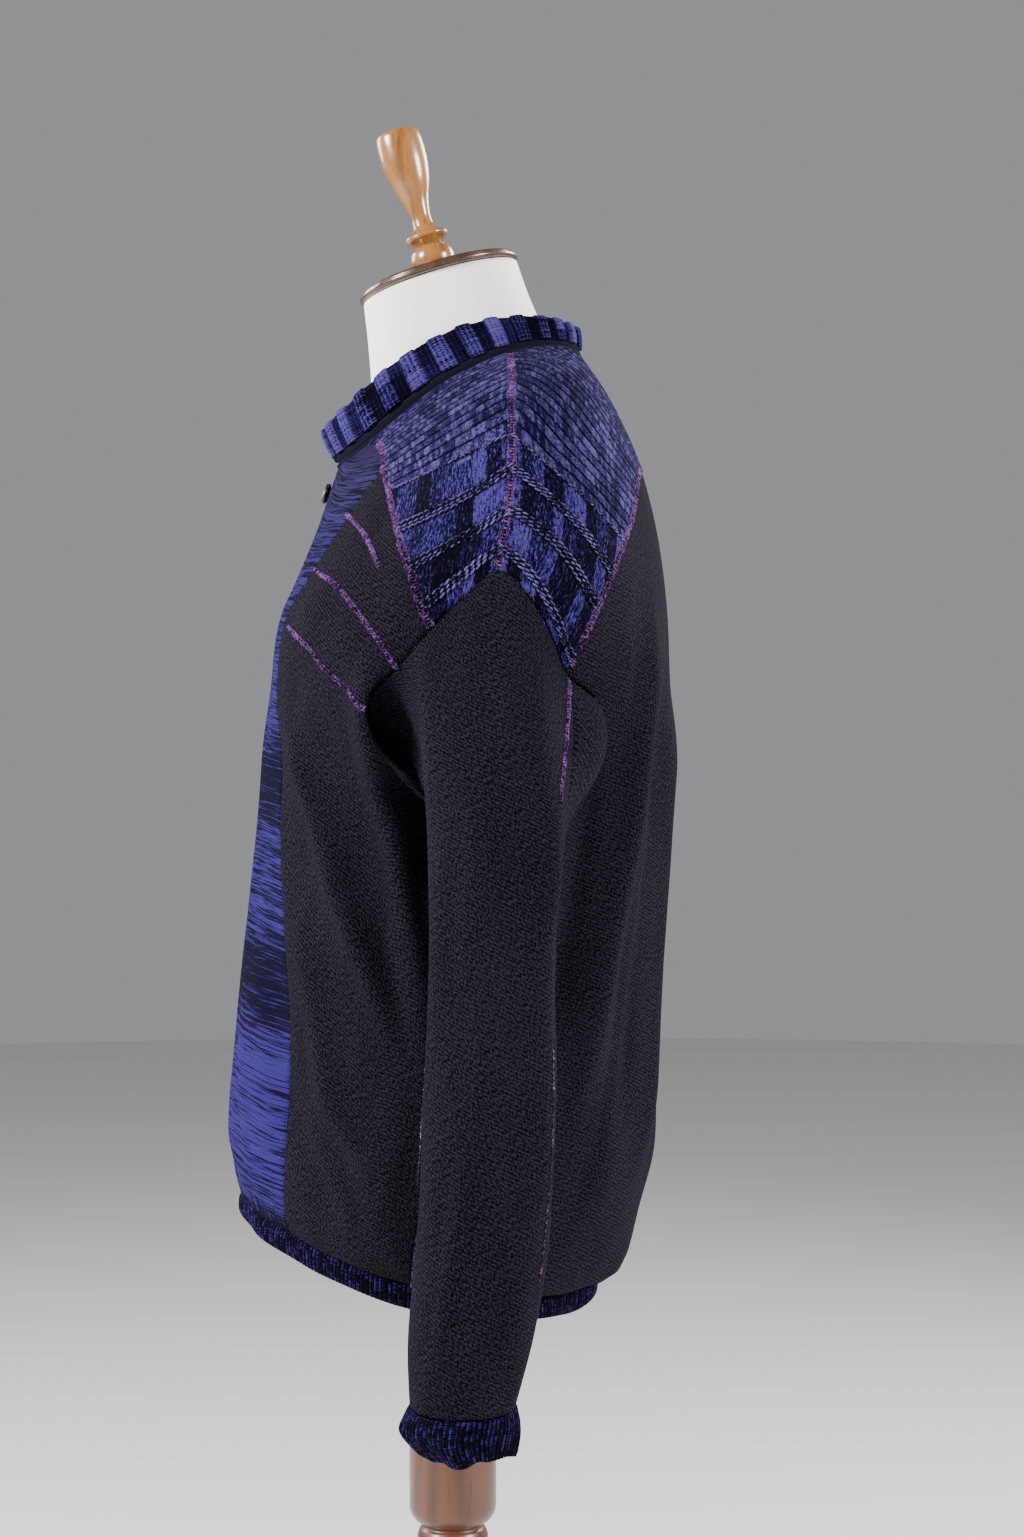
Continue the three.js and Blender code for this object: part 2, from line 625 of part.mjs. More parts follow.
function ribbedCollar() {
  const start = -90 + collarOpening;
  const pitch = (360 - 2 * collarOpening) / collarRibs;
  const angles = [];
  for (let rib = 0; rib < collarRibs; rib += 1) {
    const from = start + rib * pitch;
    ribProfile.forEach(([along, rise]) => angles.push([from + along * pitch, rise]));
  }
  return collarPiece(angles, [bindingShare + bindingGap, collarWaist, 1], collarWall / 2, -collarWall / 2);
}

function collarBinding() {
  const start = -90 + collarOpening;
  const facets = 2 * collarRibs;
  const angles = Array.from({ length: facets + 1 }, (_, i) => [start
    + ((360 - 2 * collarOpening) * i) / facets, 0]);
  return collarPiece(angles, [0, bindingShare], bindingOuter, bindingOuter - bindingWall);
}

function formPiece() {
  const m = formLevels.length - 1;
  const rows = Array.from({ length: m + 1 }, (_, i) => Array.from({ length: formFacets },
    (__, j) => ringPoint(formLevels, (360 * j) / formFacets, i)));
  const positions = rows.flat().flatMap((p) => [p.x, p.y, p.z]);
  const index = [];
  const at = (i, j) => i * formFacets + (j % formFacets);
  for (let i = 0; i < m; i += 1) {
    for (let j = 0; j < formFacets; j += 1) {
      index.push(at(i, j), at(i, j + 1), at(i + 1, j + 1), at(i, j), at(i + 1, j + 1), at(i + 1, j));
    }
  }
  [0, m].forEach((i) => {
    const centre = positions.length / 3;
    const flat = rows[i].reduce((sum, p) => sum.add(p), new THREE.Vector3()).divideScalar(formFacets);
    positions.push(flat.x, flat.y, flat.z);
    for (let j = 0; j < formFacets; j += 1) {
      if (i === 0) index.push(centre, at(i, j + 1), at(i, j));
      else index.push(centre, at(i, j), at(i, j + 1));
    }
  });
  const geometry = new THREE.BufferGeometry();
  geometry.setAttribute('position', new THREE.Float32BufferAttribute(positions, 3));
  geometry.setIndex(facingOut(positions, index));
  return geometry;
}

// A turned piece: [radius, height] pairs, its axis along +Z
function turned(profile, facets) {
  const points = profile.map(([radius, height]) => new THREE.Vector2(radius, height));
  return new THREE.LatheGeometry(points, facets).rotateX(Math.PI / 2);
}

add('front_panel', bodyPiece(frontPanel()), 'blueMarl');
add('side_front_left', bodyPiece(sideFront()), 'charcoal');
add('side_front_right', bodyPiece(sideFront().map(mirrored)), 'charcoal');
add('front_yoke_left', bodyPiece(frontYoke()), 'blockKnit');
add('front_yoke_right', bodyPiece(frontYoke().map(mirrored)), 'blockKnit');
add('back_yoke', bodyPiece(backYoke()), 'blockKnit');
add('back_panel', bodyPiece(backPanel()), 'charcoal');
add('hem_rib', hemPiece(), 'ribKnit');
add('collar_binding', collarBinding(), 'binding');
add('collar', ribbedCollar(), 'ribKnit');

[['left', false], ['right', true]].forEach(([hand, mirror]) => {
  add(`sleeve_top_${hand}`, sleevePiece(-armholeTop, 2 * armholeTop, mirror), 'charcoal');
  add(`sleeve_under_${hand}`, sleevePiece(armholeTop, 2 * armholeUnder, mirror), 'charcoal');
  add(`cuff_${hand}`, cuffPiece(mirror), 'ribKnit');
});

add('form_torso', formPiece(), 'formCloth');

const neckTop = ringPoint(formLevels, -90, formLevels.length - 1)
  .add(ringPoint(formLevels, 90, formLevels.length - 1)).multiplyScalar(0.5);
const capAxis = new THREE.Vector3(0, -Math.sin(capTilt * degree), Math.cos(capTilt * degree));
const cap = add('neck_cap', turned(capProfile, capFacets), 'darkWood');
cap.rotation.x = capTilt * degree;
cap.position.copy(neckTop).addScaledVector(capAxis, seamGap);
const finial = add('finial', turned(finialProfile, finialFacets), 'honeyWood');
finial.rotation.x = capTilt * degree;
finial.position.copy(cap.position).addScaledVector(capAxis, capHeight + seamGap);

const poleFoot = baseHeight + seamGap;
const poleProfile = [[0, poleFoot], [lowerPoleRadius, poleFoot], ...poleRing,
  [poleRadius, poleShoulder], [poleRadius, poleTop], [0, poleTop]];
add('pole', turned(poleProfile, poleFacets), 'poleWood');
add('stand_base', turned(baseProfile, baseFacets), 'baseWood');

const button = add('neck_button', turned(buttonProfile, buttonFacets), 'horn');
const buttonOut = bodyNormal(-90, buttonLevel);
button.rotation.x = Math.atan2(-buttonOut.y, buttonOut.z);
button.position.copy(bodyPoint(-90, buttonLevel)).addScaledVector(buttonOut, clothWall / 2 + buttonSeat);

export default group;
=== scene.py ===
import math
import bpy
import numpy as np
from mathutils import Matrix, Vector


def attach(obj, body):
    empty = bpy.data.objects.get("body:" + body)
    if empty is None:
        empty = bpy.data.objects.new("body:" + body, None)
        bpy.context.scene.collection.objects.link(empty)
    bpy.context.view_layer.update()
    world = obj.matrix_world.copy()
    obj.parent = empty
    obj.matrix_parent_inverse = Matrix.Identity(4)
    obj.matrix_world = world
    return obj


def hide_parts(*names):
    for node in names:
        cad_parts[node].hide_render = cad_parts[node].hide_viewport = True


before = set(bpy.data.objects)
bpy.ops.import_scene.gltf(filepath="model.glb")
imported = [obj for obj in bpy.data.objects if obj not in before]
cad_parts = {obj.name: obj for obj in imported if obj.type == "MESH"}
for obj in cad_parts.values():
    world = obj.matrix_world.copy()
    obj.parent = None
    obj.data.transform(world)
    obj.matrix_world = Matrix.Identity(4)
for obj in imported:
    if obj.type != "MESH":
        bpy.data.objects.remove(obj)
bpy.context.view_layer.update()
degree = math.pi / 180
fullTurn = 2 * math.pi
mm = 0.001  # the garment's tables are in millimetres
hands = ("left", "right")


def addObject(name, data):
    obj = bpy.data.objects.new(name, data)
    bpy.context.scene.collection.objects.link(obj)
    return obj


# Camera first: it looks at the wearer's left side from about two metres
camera = {"place": (2.0, 0.045, 1.126), "lens": 61.6, "sensor": 36.0, "reach": 60.0}


def makeCamera():
    data = bpy.data.cameras.new("sideCamera")
    data.lens = camera["lens"]
    data.sensor_width = camera["sensor"]
    data.clip_end = camera["reach"]
    obj = addObject("sideCamera", data)
    obj.location = camera["place"]
    obj.rotation_euler = (math.pi / 2, 0, math.pi / 2)
    bpy.context.scene.camera = obj


makeCamera()
print("camera ready")

# Shader maths: a socket that adds, multiplies and so on by making Math nodes


class Wire:
    def __init__(self, shade, socket):
        self.shade = shade
        self.socket = socket

    def __add__(self, other):
        return self.shade.maths("ADD", self, other)

    def __sub__(self, other):
        return self.shade.maths("SUBTRACT", self, other)

    def __rsub__(self, other):
        return self.shade.maths("SUBTRACT", other, self)

    def __mul__(self, other):
        return self.shade.maths("MULTIPLY", self, other)

    def __truediv__(self, other):
        return self.shade.maths("DIVIDE", self, other)

    def __rtruediv__(self, other):
        return self.shade.maths("DIVIDE", other, self)

    __radd__ = __add__
    __rmul__ = __mul__


class Shade:
    def __init__(self, name):
        self.material = bpy.data.materials.new(name)
        self.material.use_nodes = True
        self.tree = self.material.node_tree
        self.tree.nodes.clear()

    def node(self, kind, settings=None, inputs=None, out=0):
        made = self.tree.nodes.new(kind)
        for key, value in (settings or {}).items():
            if key == "stops":
                self.setStops(made.color_ramp, value)
            else:
                setattr(made, key, value)
        for key, value in (inputs or {}).items():
            if isinstance(value, Wire):
                self.tree.links.new(value.socket, made.inputs[key])
            else:
                made.inputs[key].default_value = value
        return Wire(self, made.outputs[out])

    def setStops(self, ramp, stops):
        while len(ramp.elements) < len(stops):
            ramp.elements.new(0.5)
        for element, (place, colour) in zip(ramp.elements, stops):
            element.position = place
            element.color = (*colour, 1)

    def maths(self, operation, a, b=0.0):
        return self.node("ShaderNodeMath", {"operation": operation}, {0: a, 1: b})

    def uv(self):  # millimetres along and up the cloth
        both = self.node("ShaderNodeUVMap", {"uv_map": "cloth"})
        split = self.node("ShaderNodeSeparateXYZ", None, {0: both})
        return [Wire(self, split.socket.node.outputs[axis]) * 1000 for axis in (0, 1)]

    def place(self, rotate=(0, 0, 0), scale=(1, 1, 1)):
        where = self.node("ShaderNodeTexCoord", out=3)
        return self.node("ShaderNodeMapping", None, {0: where, 2: rotate, 3: scale})

    def vector(self, x, y=0.0, z=0.0):
        return self.node("ShaderNodeCombineXYZ", None, {0: x, 1: y, 2: z})

    def noise(self, vector, scale=1.0, detail=2.0, rough=0.5):
        return self.node("ShaderNodeTexNoise", None,
                         {"Vector": vector, "Scale": scale, "Detail": detail, "Roughness": rough})

    def chance(self, x, y=0.0, z=0.0):
        return self.node("ShaderNodeTexWhiteNoise", {"noise_dimensions": "3D"}, {0: self.vector(x, y, z)})

    def step(self, x, low, high):
        return self.node("ShaderNodeMapRange", {"interpolation_type": "SMOOTHSTEP"},
                         {0: x, 1: low, 2: high, 3: 0.0, 4: 1.0})

    def floor(self, x):
        return self.maths("FLOOR", x)

    def fract(self, x):
        return self.maths("FRACT", x)

    def sine(self, x):
        return self.maths("SINE", x)

    def size(self, x):
        return self.maths("ABSOLUTE", x)

    def blend(self, share, a, b):
        fill = [v if isinstance(v, Wire) else (*v, 1) for v in (a, b)]
        return self.node("ShaderNodeMix", {"data_type": "RGBA"},
                         {0: share, 6: fill[0], 7: fill[1]}, out=2)

    def ramp(self, x, stops):
        return self.node("ShaderNodeValToRGB", {"stops": stops}, {0: x})

    # Closes the material: colour, roughness and height vary, the rest are constants
    def close(self, colour, rough, height=None, depth=0.0005, strength=1.0, **constants):
        inputs = {"Base Color": colour, "Roughness": rough}
        if height is not None:
            inputs["Normal"] = self.node("ShaderNodeBump", None,
                                         {"Strength": strength, "Distance": depth, "Height": height})
        inputs.update(constants)
        shader = self.node("ShaderNodeBsdfPrincipled", None, inputs)
        out = self.tree.nodes.new("ShaderNodeOutputMaterial")
        self.tree.links.new(shader.socket, out.inputs[0])
        return self.material


# Materials
yarn = {
    "violet": (0.029, 0.0185, 0.128),
    "blue": (0.0115, 0.0082, 0.054),
    "slate": (0.026, 0.021, 0.062),
    "pale": (0.062, 0.05, 0.155),
    "bright": (0.048, 0.038, 0.135),
    "navy": (0.0026, 0.0021, 0.0105),
    "ink": (0.0011, 0.0009, 0.0024),
    "pink": (0.148, 0.061, 0.2),
    "plum": (0.012, 0.003, 0.02),
}
sheen = {"Specular IOR Level": 0.025, "Sheen Weight": 0.006, "Sheen Roughness": 0.5,
         "Sheen Tint": (0.8, 0.75, 1.0, 1)}
nap = {"dark": (0.0006, 0.0005, 0.001), "light": (0.0175, 0.0152, 0.0243), "sheen": 0.003,
       "range": (0.49, 0.63)}  # where the brushed strokes turn from dark to light
knit = {"wale": 1.9, "course": 1.8}  # millimetres from stitch to stitch in the ribs


def charcoalKnit():
    s = Shade("charcoal_knit")
    u, v = s.uv()
    lean = u * 0.9 + v * 0.5  # twill strokes lean across the wales
    stroke = s.noise(s.vector(lean * 0.88, (v - u * 0.45) * 0.33), 1.0, 2.0, 0.6)
    fleece = s.noise(s.vector(u, v), 1.15, 3.0, 0.75)
    wear = s.noise(s.vector(u * 0.02, v * 0.006), 1.0, 3.0, 0.6)
    course = s.sine(v * 2.4 + u * 1.1 + stroke * 4)
    mark = s.step(stroke * 0.5 + fleece * 0.5 + wear * 0.1 + course * 0.03, *nap["range"])
    colour = s.blend(mark, nap["dark"], nap["light"])
    height = stroke * 0.6 + fleece * 0.5 + course * 0.12
    return s.close(colour, 0.93, height, 0.0009, 0.85, **{**sheen, "Sheen Weight": nap["sheen"]})


# Space-dyed marl: thin lines across the panel, with darker and plainer stretches down it
dyed = {"dark": (-27.0, -172.0), "plain": -262.0, "grey": 190.0, "spikes": -338.0,
        "darker": 0.075, "plainer": 0.03, "spiked": 0.3, "range": (0.455, 0.535), "wale": 2.3, "course": 1.7}


def blueMarl():
    s = Shade("blue_marl_knit")
    u, v = s.uv()
    drift = s.noise(s.vector(u * 0.008, v * 0.02), 1.0, 1.0) * 5
    course = v + drift
    streak = s.noise(s.vector(u * 0.004, course * 0.34), 1.0, 3.0, 0.7)
    dash = s.noise(s.vector(u * 0.014 + 31, course * 0.7), 1.0, 2.0, 0.6)
    shift = 0.0
    for place in dyed["dark"]:
        shift = shift - s.step(s.size(v - place), 46, 8) * dyed["darker"]
    shift = shift + s.step(s.size(v - dyed["plain"]), 66, 26) * dyed["plainer"]
    spike = s.noise(s.vector(u * 0.16, 4.0), 1.0, 1.0) * 34
    shift = shift - s.step(v + spike, dyed["spikes"] + 22, dyed["spikes"] + 6) * dyed["spiked"]
    hair = s.noise(s.vector(u * 0.035, course * 1.1), 1.0, 1.0)
    light = s.step(streak * 0.35 + dash * 0.38 + hair * 0.27 + shift, *dyed["range"])
    twist = s.noise(s.vector(u * 1.3, v * 0.9), 1.0, 2.0)
    grey = s.step(v, dyed["grey"] - 90, dyed["grey"] + 60)
    bright = s.blend(grey, yarn["violet"], yarn["slate"])
    bright = s.blend(s.step(twist, 0.42, 0.62) * 0.55, bright, yarn["blue"])
    colour = s.blend(light, yarn["navy"], bright)
    fork = s.size(s.fract(u / dyed["wale"]) - 0.5)
    loop = s.sine((v + fork * 2.2) * (fullTurn / dyed["course"]))
    height = loop * 0.35 + fork + twist * 0.5 + light * 0.2
    return s.close(colour, 0.88, height, 0.0006, 0.8, **sheen)


# Block knit: small basket cells near the neck, longer marled blocks outside
blocks = {"row": 12.32, "cell": 14.0, "split": 172.5, "welts": (197.7, 227.3, 254.9), "block": 12.5,
          "cellRange": (0.39, 0.64), "blockRange": (0.4, 0.69)}


def blockKnit():
    s = Shade("block_knit")
    u, v = s.uv()
    row = s.floor(u / blocks["row"])
    slide = s.chance(row, 3.0) * 9
    cell = s.floor((v + slide) / blocks["cell"])
    tone = s.chance(row, cell, 1.0)
    valley = s.size(s.fract(u / blocks["row"]) - 0.5) * 2
    slant = v + s.size(s.fract(u / 4.1) - 0.5) * 3
    stroke = s.noise(s.vector(u * 0.42, slant * 0.34), 1.0, 2.0, 0.65)
    fleck = s.noise(s.vector(u * 0.62 + 9, v * 0.7), 1.0, 3.0, 0.75)
    marl = stroke * 0.5 + fleck * 0.5
    dash = s.chance(row, s.floor(v / 2.9 + slide), 6.0)
    cloud = s.noise(s.vector(u * 0.016, v * 0.022), 1.0, 2.0)
    # random tone, plus painted shade that darkens each rib row towards the grooves between rows
    lift = ((tone - 0.5) * 0.1 + (dash - 0.5) * 0.14 + (cloud - 0.5) * 0.25
            - s.step(valley, 0.5, 1.0) * 0.08)
    small = s.ramp(s.step(marl + lift, *blocks["cellRange"]), [
        (0.0, yarn["navy"]), (0.35, yarn["blue"]), (0.65, yarn["slate"]), (1.0, yarn["pale"])])
    # painted shade: the grooves between the rib rows are filled with ink
    small = s.blend(s.step(valley, 0.76, 0.95) * 0.85, small, yarn["ink"])
    band = 0.5
    for welt in blocks["welts"]:
        band = band + s.step(u, welt - 1, welt + 1)
    band = s.floor(band)
    ragged = s.noise(s.vector(u * 0.5, v * 0.12), 1.0, 2.0) * 0.5
    place = v / blocks["block"] + s.noise(s.vector(v * 0.05, band * 5), 1.0, 1.0) * 2 + ragged
    block = s.floor(place + s.chance(band, 8.0) * 6)
    kind = s.chance(block, band, 4.0)
    column = v + s.size(s.fract(v / 3.4) - 0.5) * 1.5
    across = s.noise(s.vector((u + column * 0.5) * 0.2, column * 0.62), 1.0, 2.0, 0.65)
    mixed = s.step(across * 0.56 + fleck * 0.48 + (kind - 0.5) * 0.18, *blocks["blockRange"])
    large = s.ramp(mixed, [(0.0, yarn["ink"]), (0.3, yarn["navy"]), (0.5, yarn["blue"]),
                           (0.72, yarn["violet"]), (0.9, yarn["bright"])])
    outside = s.step(u + (s.chance(block, 2.0) - 0.5) * 8, blocks["split"] - 1, blocks["split"] + 1)
    colour = s.blend(outside, small, large)
    for welt in blocks["welts"]:
        colour = s.blend(s.step(s.size(u - welt) + fleck * 3, 6.8, 5.4) * 0.86, colour, yarn["ink"])
    height = stroke * 0.6 + fleck * 0.6 - s.step(valley, 0.8, 1.0) * (1 - outside) * 0.4
    return s.close(colour, 0.88, height, 0.0009, 0.9, **sheen)


def ribKnit(name, pitch, raised, checks, dark, top):
    s = Shade(name)
    u, v = s.uv()
    phase = s.fract(u / pitch)
    rib = s.floor(u / pitch)
    crown = s.step(phase, 0.02, 0.12) - s.step(phase, raised, raised + 0.1)
    wale = s.sine(u * (fullTurn / knit["wale"]))
    course = s.sine(v * (fullTurn / knit["course"]))
    patch = s.chance(rib, s.floor(v / checks + s.chance(rib, 5.0)), 2.0)
    lines = s.noise(s.vector(rib * 3.7 + u * 0.06, v * 0.7), 1.0, 3.0, 0.7)
    marl = s.noise(s.vector(u * 0.9, v * 0.9), 1.0, 3.0, 0.7)
    tone = lines * 0.5 + marl * 0.5 + (patch - 0.5) * 0.14 + wale * 0.035 - dark
    # the raised crowns take the lighter ramp and the sunken wales a darker one: painted light on the crowns,
    # painted shade in the recesses
    light = s.ramp(s.step(tone, 0.37, 0.65), [
        (0.0, yarn["ink"]), (0.3, yarn["navy"]), (0.55, yarn["violet"]), (1.0, yarn[top])])
    shade = s.ramp(s.step(tone, 0.42, 0.66), [
        (0.0, yarn["ink"]), (0.5, yarn["navy"]), (1.0, yarn["blue"])])
    colour = s.blend(crown, shade, light)
    height = wale * 0.3 + course * 0.3 + marl * 0.6
    return s.close(colour, 0.88, height, 0.0006, 0.8, **sheen)


def bindingKnit():
    s = Shade("navy_binding")
    u, v = s.uv()
    wale = s.sine(u * (fullTurn / 1.5))
    grain = s.noise(s.vector(u, v), 1.1, 3.0, 0.6)
    colour = s.blend(grain, (0.0016, 0.0016, 0.0036), (0.0105, 0.0105, 0.021))
    return s.close(colour, 0.9, wale * 0.3 + grain * 0.5, 0.0004, 0.6, **sheen)


def thread(name, dark, light, share):
    s = Shade(name)
    marl = s.noise(s.place(), 420.0, 2.0, 0.6)
    slow = s.noise(s.place(), 38.0, 2.0, 0.6)
    colour = s.blend(s.step(marl * 0.8 + slow * 0.5, share, share + 0.25), dark, light)
    fibre = s.noise(s.place(), 2600.0, 1.0)
    return s.close(colour, 0.8, fibre, 0.0001, 0.5, **sheen)


def formCloth():
    s = Shade("form_cloth")
    where = s.place()
    weave = s.noise(where, 1500.0, 2.0, 0.6)
    slub = s.noise(s.place(scale=(1, 1, 9)), 90.0, 3.0, 0.6)
    soft = s.noise(where, 9.0, 2.0)
    colour = s.blend(slub * 0.3 + soft * 0.3, (0.96, 0.945, 0.915), (0.87, 0.835, 0.775))
    return s.close(colour, 0.86, weave * 0.7 + slub * 0.3, 0.00025, 0.6, **{"Specular IOR Level": 0.3})


def wood(name, dark, light, deep, turn, gloss, coat):
    s = Shade(name)
    where = s.place(rotate=turn, scale=(1, 1, 0.09))
    swirl = s.noise(where, 26.0, 3.0, 0.55)
    ring = s.size(s.sine((s.noise(where, 16.0, 2.0) * 9 + swirl * 3) * math.pi))
    pore = s.noise(s.place(rotate=turn, scale=(1, 1, 0.035)), 620.0, 2.0, 0.6)
    colour = s.blend(ring * 0.55 + swirl * 0.45, dark, light)
    colour = s.blend(s.step(pore, 0.56, 0.72) * 0.6, colour, deep)
    rough = s.noise(where, 60.0, 2.0) * 0.12 + gloss
    return s.close(colour, rough, pore * -0.6 + swirl * 0.2, 0.0002, 0.35,
                   **{"Coat Weight": coat, "Coat Roughness": 0.12})


def horn():
    s = Shade("horn")
    streak = s.noise(s.place(scale=(1, 1, 4)), 140.0, 3.0, 0.6)
    colour = s.ramp(streak, [
        (0.3, (0.008, 0.005, 0.004)), (0.55, (0.028, 0.017, 0.01)), (0.75, (0.09, 0.056, 0.03))])
    return s.close(colour, 0.38, streak, 0.0001, 0.2, **{"Coat Weight": 0.08, "Coat Roughness": 0.25})


def paint(name, colour, rough):
    s = Shade(name)
    speck = s.noise(s.place(), 40.0, 2.0)
    return s.close(s.blend(speck * 0.12, colour, tuple(c * 0.9 for c in colour)), rough)


capLean = 16.2 * degree  # the neck cap leans forward
materials = {
    "charcoal": charcoalKnit(),
    "marl": blueMarl(),
    "block": blockKnit(),
    "collar": ribKnit("collar_rib_knit", 12.2, 0.55, 15.0, -0.015, "pale"),
    "rib": ribKnit("hem_rib_knit", 3.6, 0.5, 5.2, 0.06, "blue"),
    "binding": bindingKnit(),
    "pinkThread": thread("pink_thread", yarn["plum"], yarn["pink"], 0.54),
    "plumThread": thread("plum_thread", (0.012, 0.01, 0.02), (0.22, 0.1, 0.26), 0.62),
    "blueThread": thread("blue_thread", yarn["ink"], (0.1, 0.083, 0.24), 0.52),
    "form": formCloth(),
    "darkWood": wood("dark_wood", (0.022, 0.009, 0.004), (0.085, 0.036, 0.014), (0.01, 0.004, 0.002),
                     (-capLean, 0, 0), 0.24, 0.5),
    "honeyWood": wood("honey_wood", (0.12, 0.04, 0.008), (0.35, 0.15, 0.034), (0.045, 0.014, 0.004),
                      (-capLean, 0, 0), 0.2, 0.6),
    # painted shade: the pole's wood tones are darkened for the shadow the garment casts over the pole
    "poleWood": wood("pole_wood", (0.03, 0.008, 0.0025), (0.105, 0.034, 0.01), (0.012, 0.004, 0.0015),
                     (0, 0, 0), 0.34, 0.2),
    "baseWood": wood("base_wood", (0.032, 0.01, 0.0035), (0.11, 0.038, 0.012), (0.014, 0.005, 0.002),
                     (0, math.pi / 2, 0), 0.42, 0.1),
    "horn": horn(),
}
print("materials ready:", len(materials))

# The garment's surface: an angle round the body in degrees and a level, as in the solids
# Columns: front y and z, side x, y and z, back y and z, roundness in front and behind, dip
cloth = {"wall": 2.2, "ribWall": 2.6, "collarWall": 2.4, "gap": 0.36, "inset": 0.27, "roll": 2.2}
levels = np.array([
    [-160, 806, 163, -24, 766, 108, 748, 1.6, 2.1, 0],
    [-163, 816, 175, -23, 771, 129, 756, 1.6, 2.1, 0],
    [-167, 838, 187, -20, 800, 142, 803, 1.6, 2.2, 0],
    [-169, 862, 193, -12, 850, 150, 845, 1.6, 2.3, 0],
    [-166, 905, 196, -8, 900, 152.5, 900, 1.62, 2.35, 0],
    [-158, 990, 198, 0, 990, 155, 990, 1.65, 2.4, 0],
    [-148, 1080, 197, 8, 1070, 161, 1080, 1.8, 2.4, 0],
    [-141, 1145, 200, 15, 1120, 163.5, 1145, 2.1, 2.4, 0],
    [-134, 1190, 214, 25, 1172, 163, 1197, 2.6, 2.35, 0],
    [-127, 1235, 232, 32, 1218, 160, 1250, 2.6, 2.3, 0],
    [-118, 1262, 240, 36, 1262, 155, 1290, 2.1, 2.25, 0],
    [-108, 1290, 237, 42, 1295, 148.5, 1322, 1.7, 2.2, 0],
    [-100, 1312, 228, 45, 1330, 140, 1352, 1.5, 2.1, 2],
    [-94.5, 1329, 204, 45, 1374, 128, 1380, 1.42, 2.05, 4],
    [-90, 1342, 146, 40, 1404, 113, 1410, 1.55, 2, 6],
    [-85, 1356, 78, 14, 1417, 94, 1441, 2, 2, 8]])
formLevels = np.array([
    [-88, 800, 140, 0, 800, 88, 800, 2.1, 2.1, 0],
    [-100, 816, 153, 0, 816, 99, 816, 2.1, 2.1, 0],
    [-104, 880, 160, 0, 880, 104, 880, 2.1, 2.1, 0],
    [-98, 980, 150, 0, 980, 94, 980, 2.1, 2.1, 0],
    [-110, 1080, 160, 2, 1072, 122, 1080, 2.1, 2.2, 0],
    [-125, 1175, 178, 6, 1160, 150, 1180, 2.2, 2.3, 0],
    [-121, 1234, 192, 16, 1222, 154.5, 1245, 2.2, 2.3, 0],
    [-112.5, 1262, 202, 28, 1265, 150.5, 1288, 2, 2.25, 0],
    [-104.2, 1289.4, 209, 36, 1300, 145.4, 1320, 1.7, 2.2, 0],
    [-96.7, 1310.6, 209, 42, 1335, 137.2, 1350.4, 1.5, 2.1, 2],
    [-91.4, 1328.2, 194.5, 44, 1373.5, 126.4, 1378.8, 1.42, 2.05, 4],
    [-87, 1340.8, 143.5, 40, 1402.6, 111.6, 1408, 1.55, 2, 6],
    [-77, 1357, 76, 18, 1415, 88, 1433, 1.9, 2, 6],
    [-66, 1384, 65, 8, 1428, 75, 1447, 2, 2, 2],
    [-62, 1412, 60.5, 2, 1446, 66, 1466, 2, 2, 0],
    [-64, 1446, 59, -4, 1469, 57, 1487, 2, 2, 0],
    [-67.5, 1477.4, 58.5, -9.5, 1494.3, 48.5, 1511.1, 2, 2, 0]])
neckline = len(levels) - 1

# Folds: angle and level at the start, middle and end, half width in degrees, height
bodyFolds = [
    [-24, 8.4, -21, 6.6, -12.5, 5.2, 4.4, 12], [-13, 7.0, -8, 5.9, 3, 4.5, 8.5, -20],
    [-53, 7.3, -35, 5.6, -14, 4.3, 3.8, 8.5], [-38, 7.6, -28, 5.8, -10, 4, 5.5, -6],
    [-47, 5.4, -38, 4.5, -24, 3, 4.2, 6.5], [-56, 5, -48, 4, -36, 2.6, 6, -4],
    [57, 8.8, 46, 5.8, 35, 3.9, 4.8, 9.5], [38, 7.5, 31, 5.8, 24, 4.3, 7, -13],
    [70, 7.9, 61, 5.6, 50, 3.4, 6, -6.5], [80, 7.4, 74, 5.2, 66, 3, 5.2, 6],
    [16, 4.6, 14, 3.4, 12, 2, 8, 4], [-16, 3.4, -14, 2.4, -12, 1.4, 6, 3]]
fineFolds = [  # softer creases that the solids leave out
    [-18, 7.9, -15, 6.7, -9, 5.6, 2.2, 2.2], [-33, 7.9, -27, 6.4, -19, 4.8, 2.6, -1.8],
    [-60, 6.6, -50, 5.2, -38, 3.6, 2.8, 1.6], [-44, 4.1, -34, 3.0, -22, 1.9, 3.0, 1.8],
    [-33, 3.9, -26, 2.9, -18, 1.7, 2.6, -1.5], [44, 8.6, 39, 6.6, 33, 5.0, 2.4, 2.0],
    [63, 7.4, 55, 5.0, 45, 3.0, 2.8, 1.8], [52, 5.4, 45, 4.0, 37, 2.3, 2.6, -1.6],
    [86, 6.2, 82, 4.4, 76, 2.2, 3.2, 1.6], [28, 4.6, 23, 3.2, 18, 1.5, 3.0, 1.8],
    [-70, 4.2, -64, 2.8, -56, 1.2, 3.5, 1.4], [98, 8.6, 97, 6.8, 95, 5.2, 3.4, -1.5],
    [-96, 7.6, -97, 6.2, -94, 4.8, 4.5, 1.2], [-84, 5.4, -82, 4.0, -79, 2.6, 4.0, -1.3]]
farFold = {"shift": 3.5, "scale": 0.85}


def catmull(rows, t):
    rows = np.asarray(rows, float)
    t = np.asarray(t, float)
    last = len(rows) - 2
    i = np.clip(np.floor(t).astype(int), 0, last)
    f = (t - i)[..., None]
    b, c = rows[i], rows[i + 1]
    a = np.where((i > 0)[..., None], rows[np.maximum(i - 1, 0)], 2 * b - c)
    d = np.where((i < last)[..., None], rows[np.minimum(i + 2, last + 1)], 2 * c - b)
    return 0.5 * (2 * b + (c - a) * f + (2 * a - 5 * b + 4 * c - d) * f * f
                  + (3 * b - a - 3 * c + d) * f ** 3)


def power(value, exponent):
    return np.sign(value) * np.abs(value) ** exponent


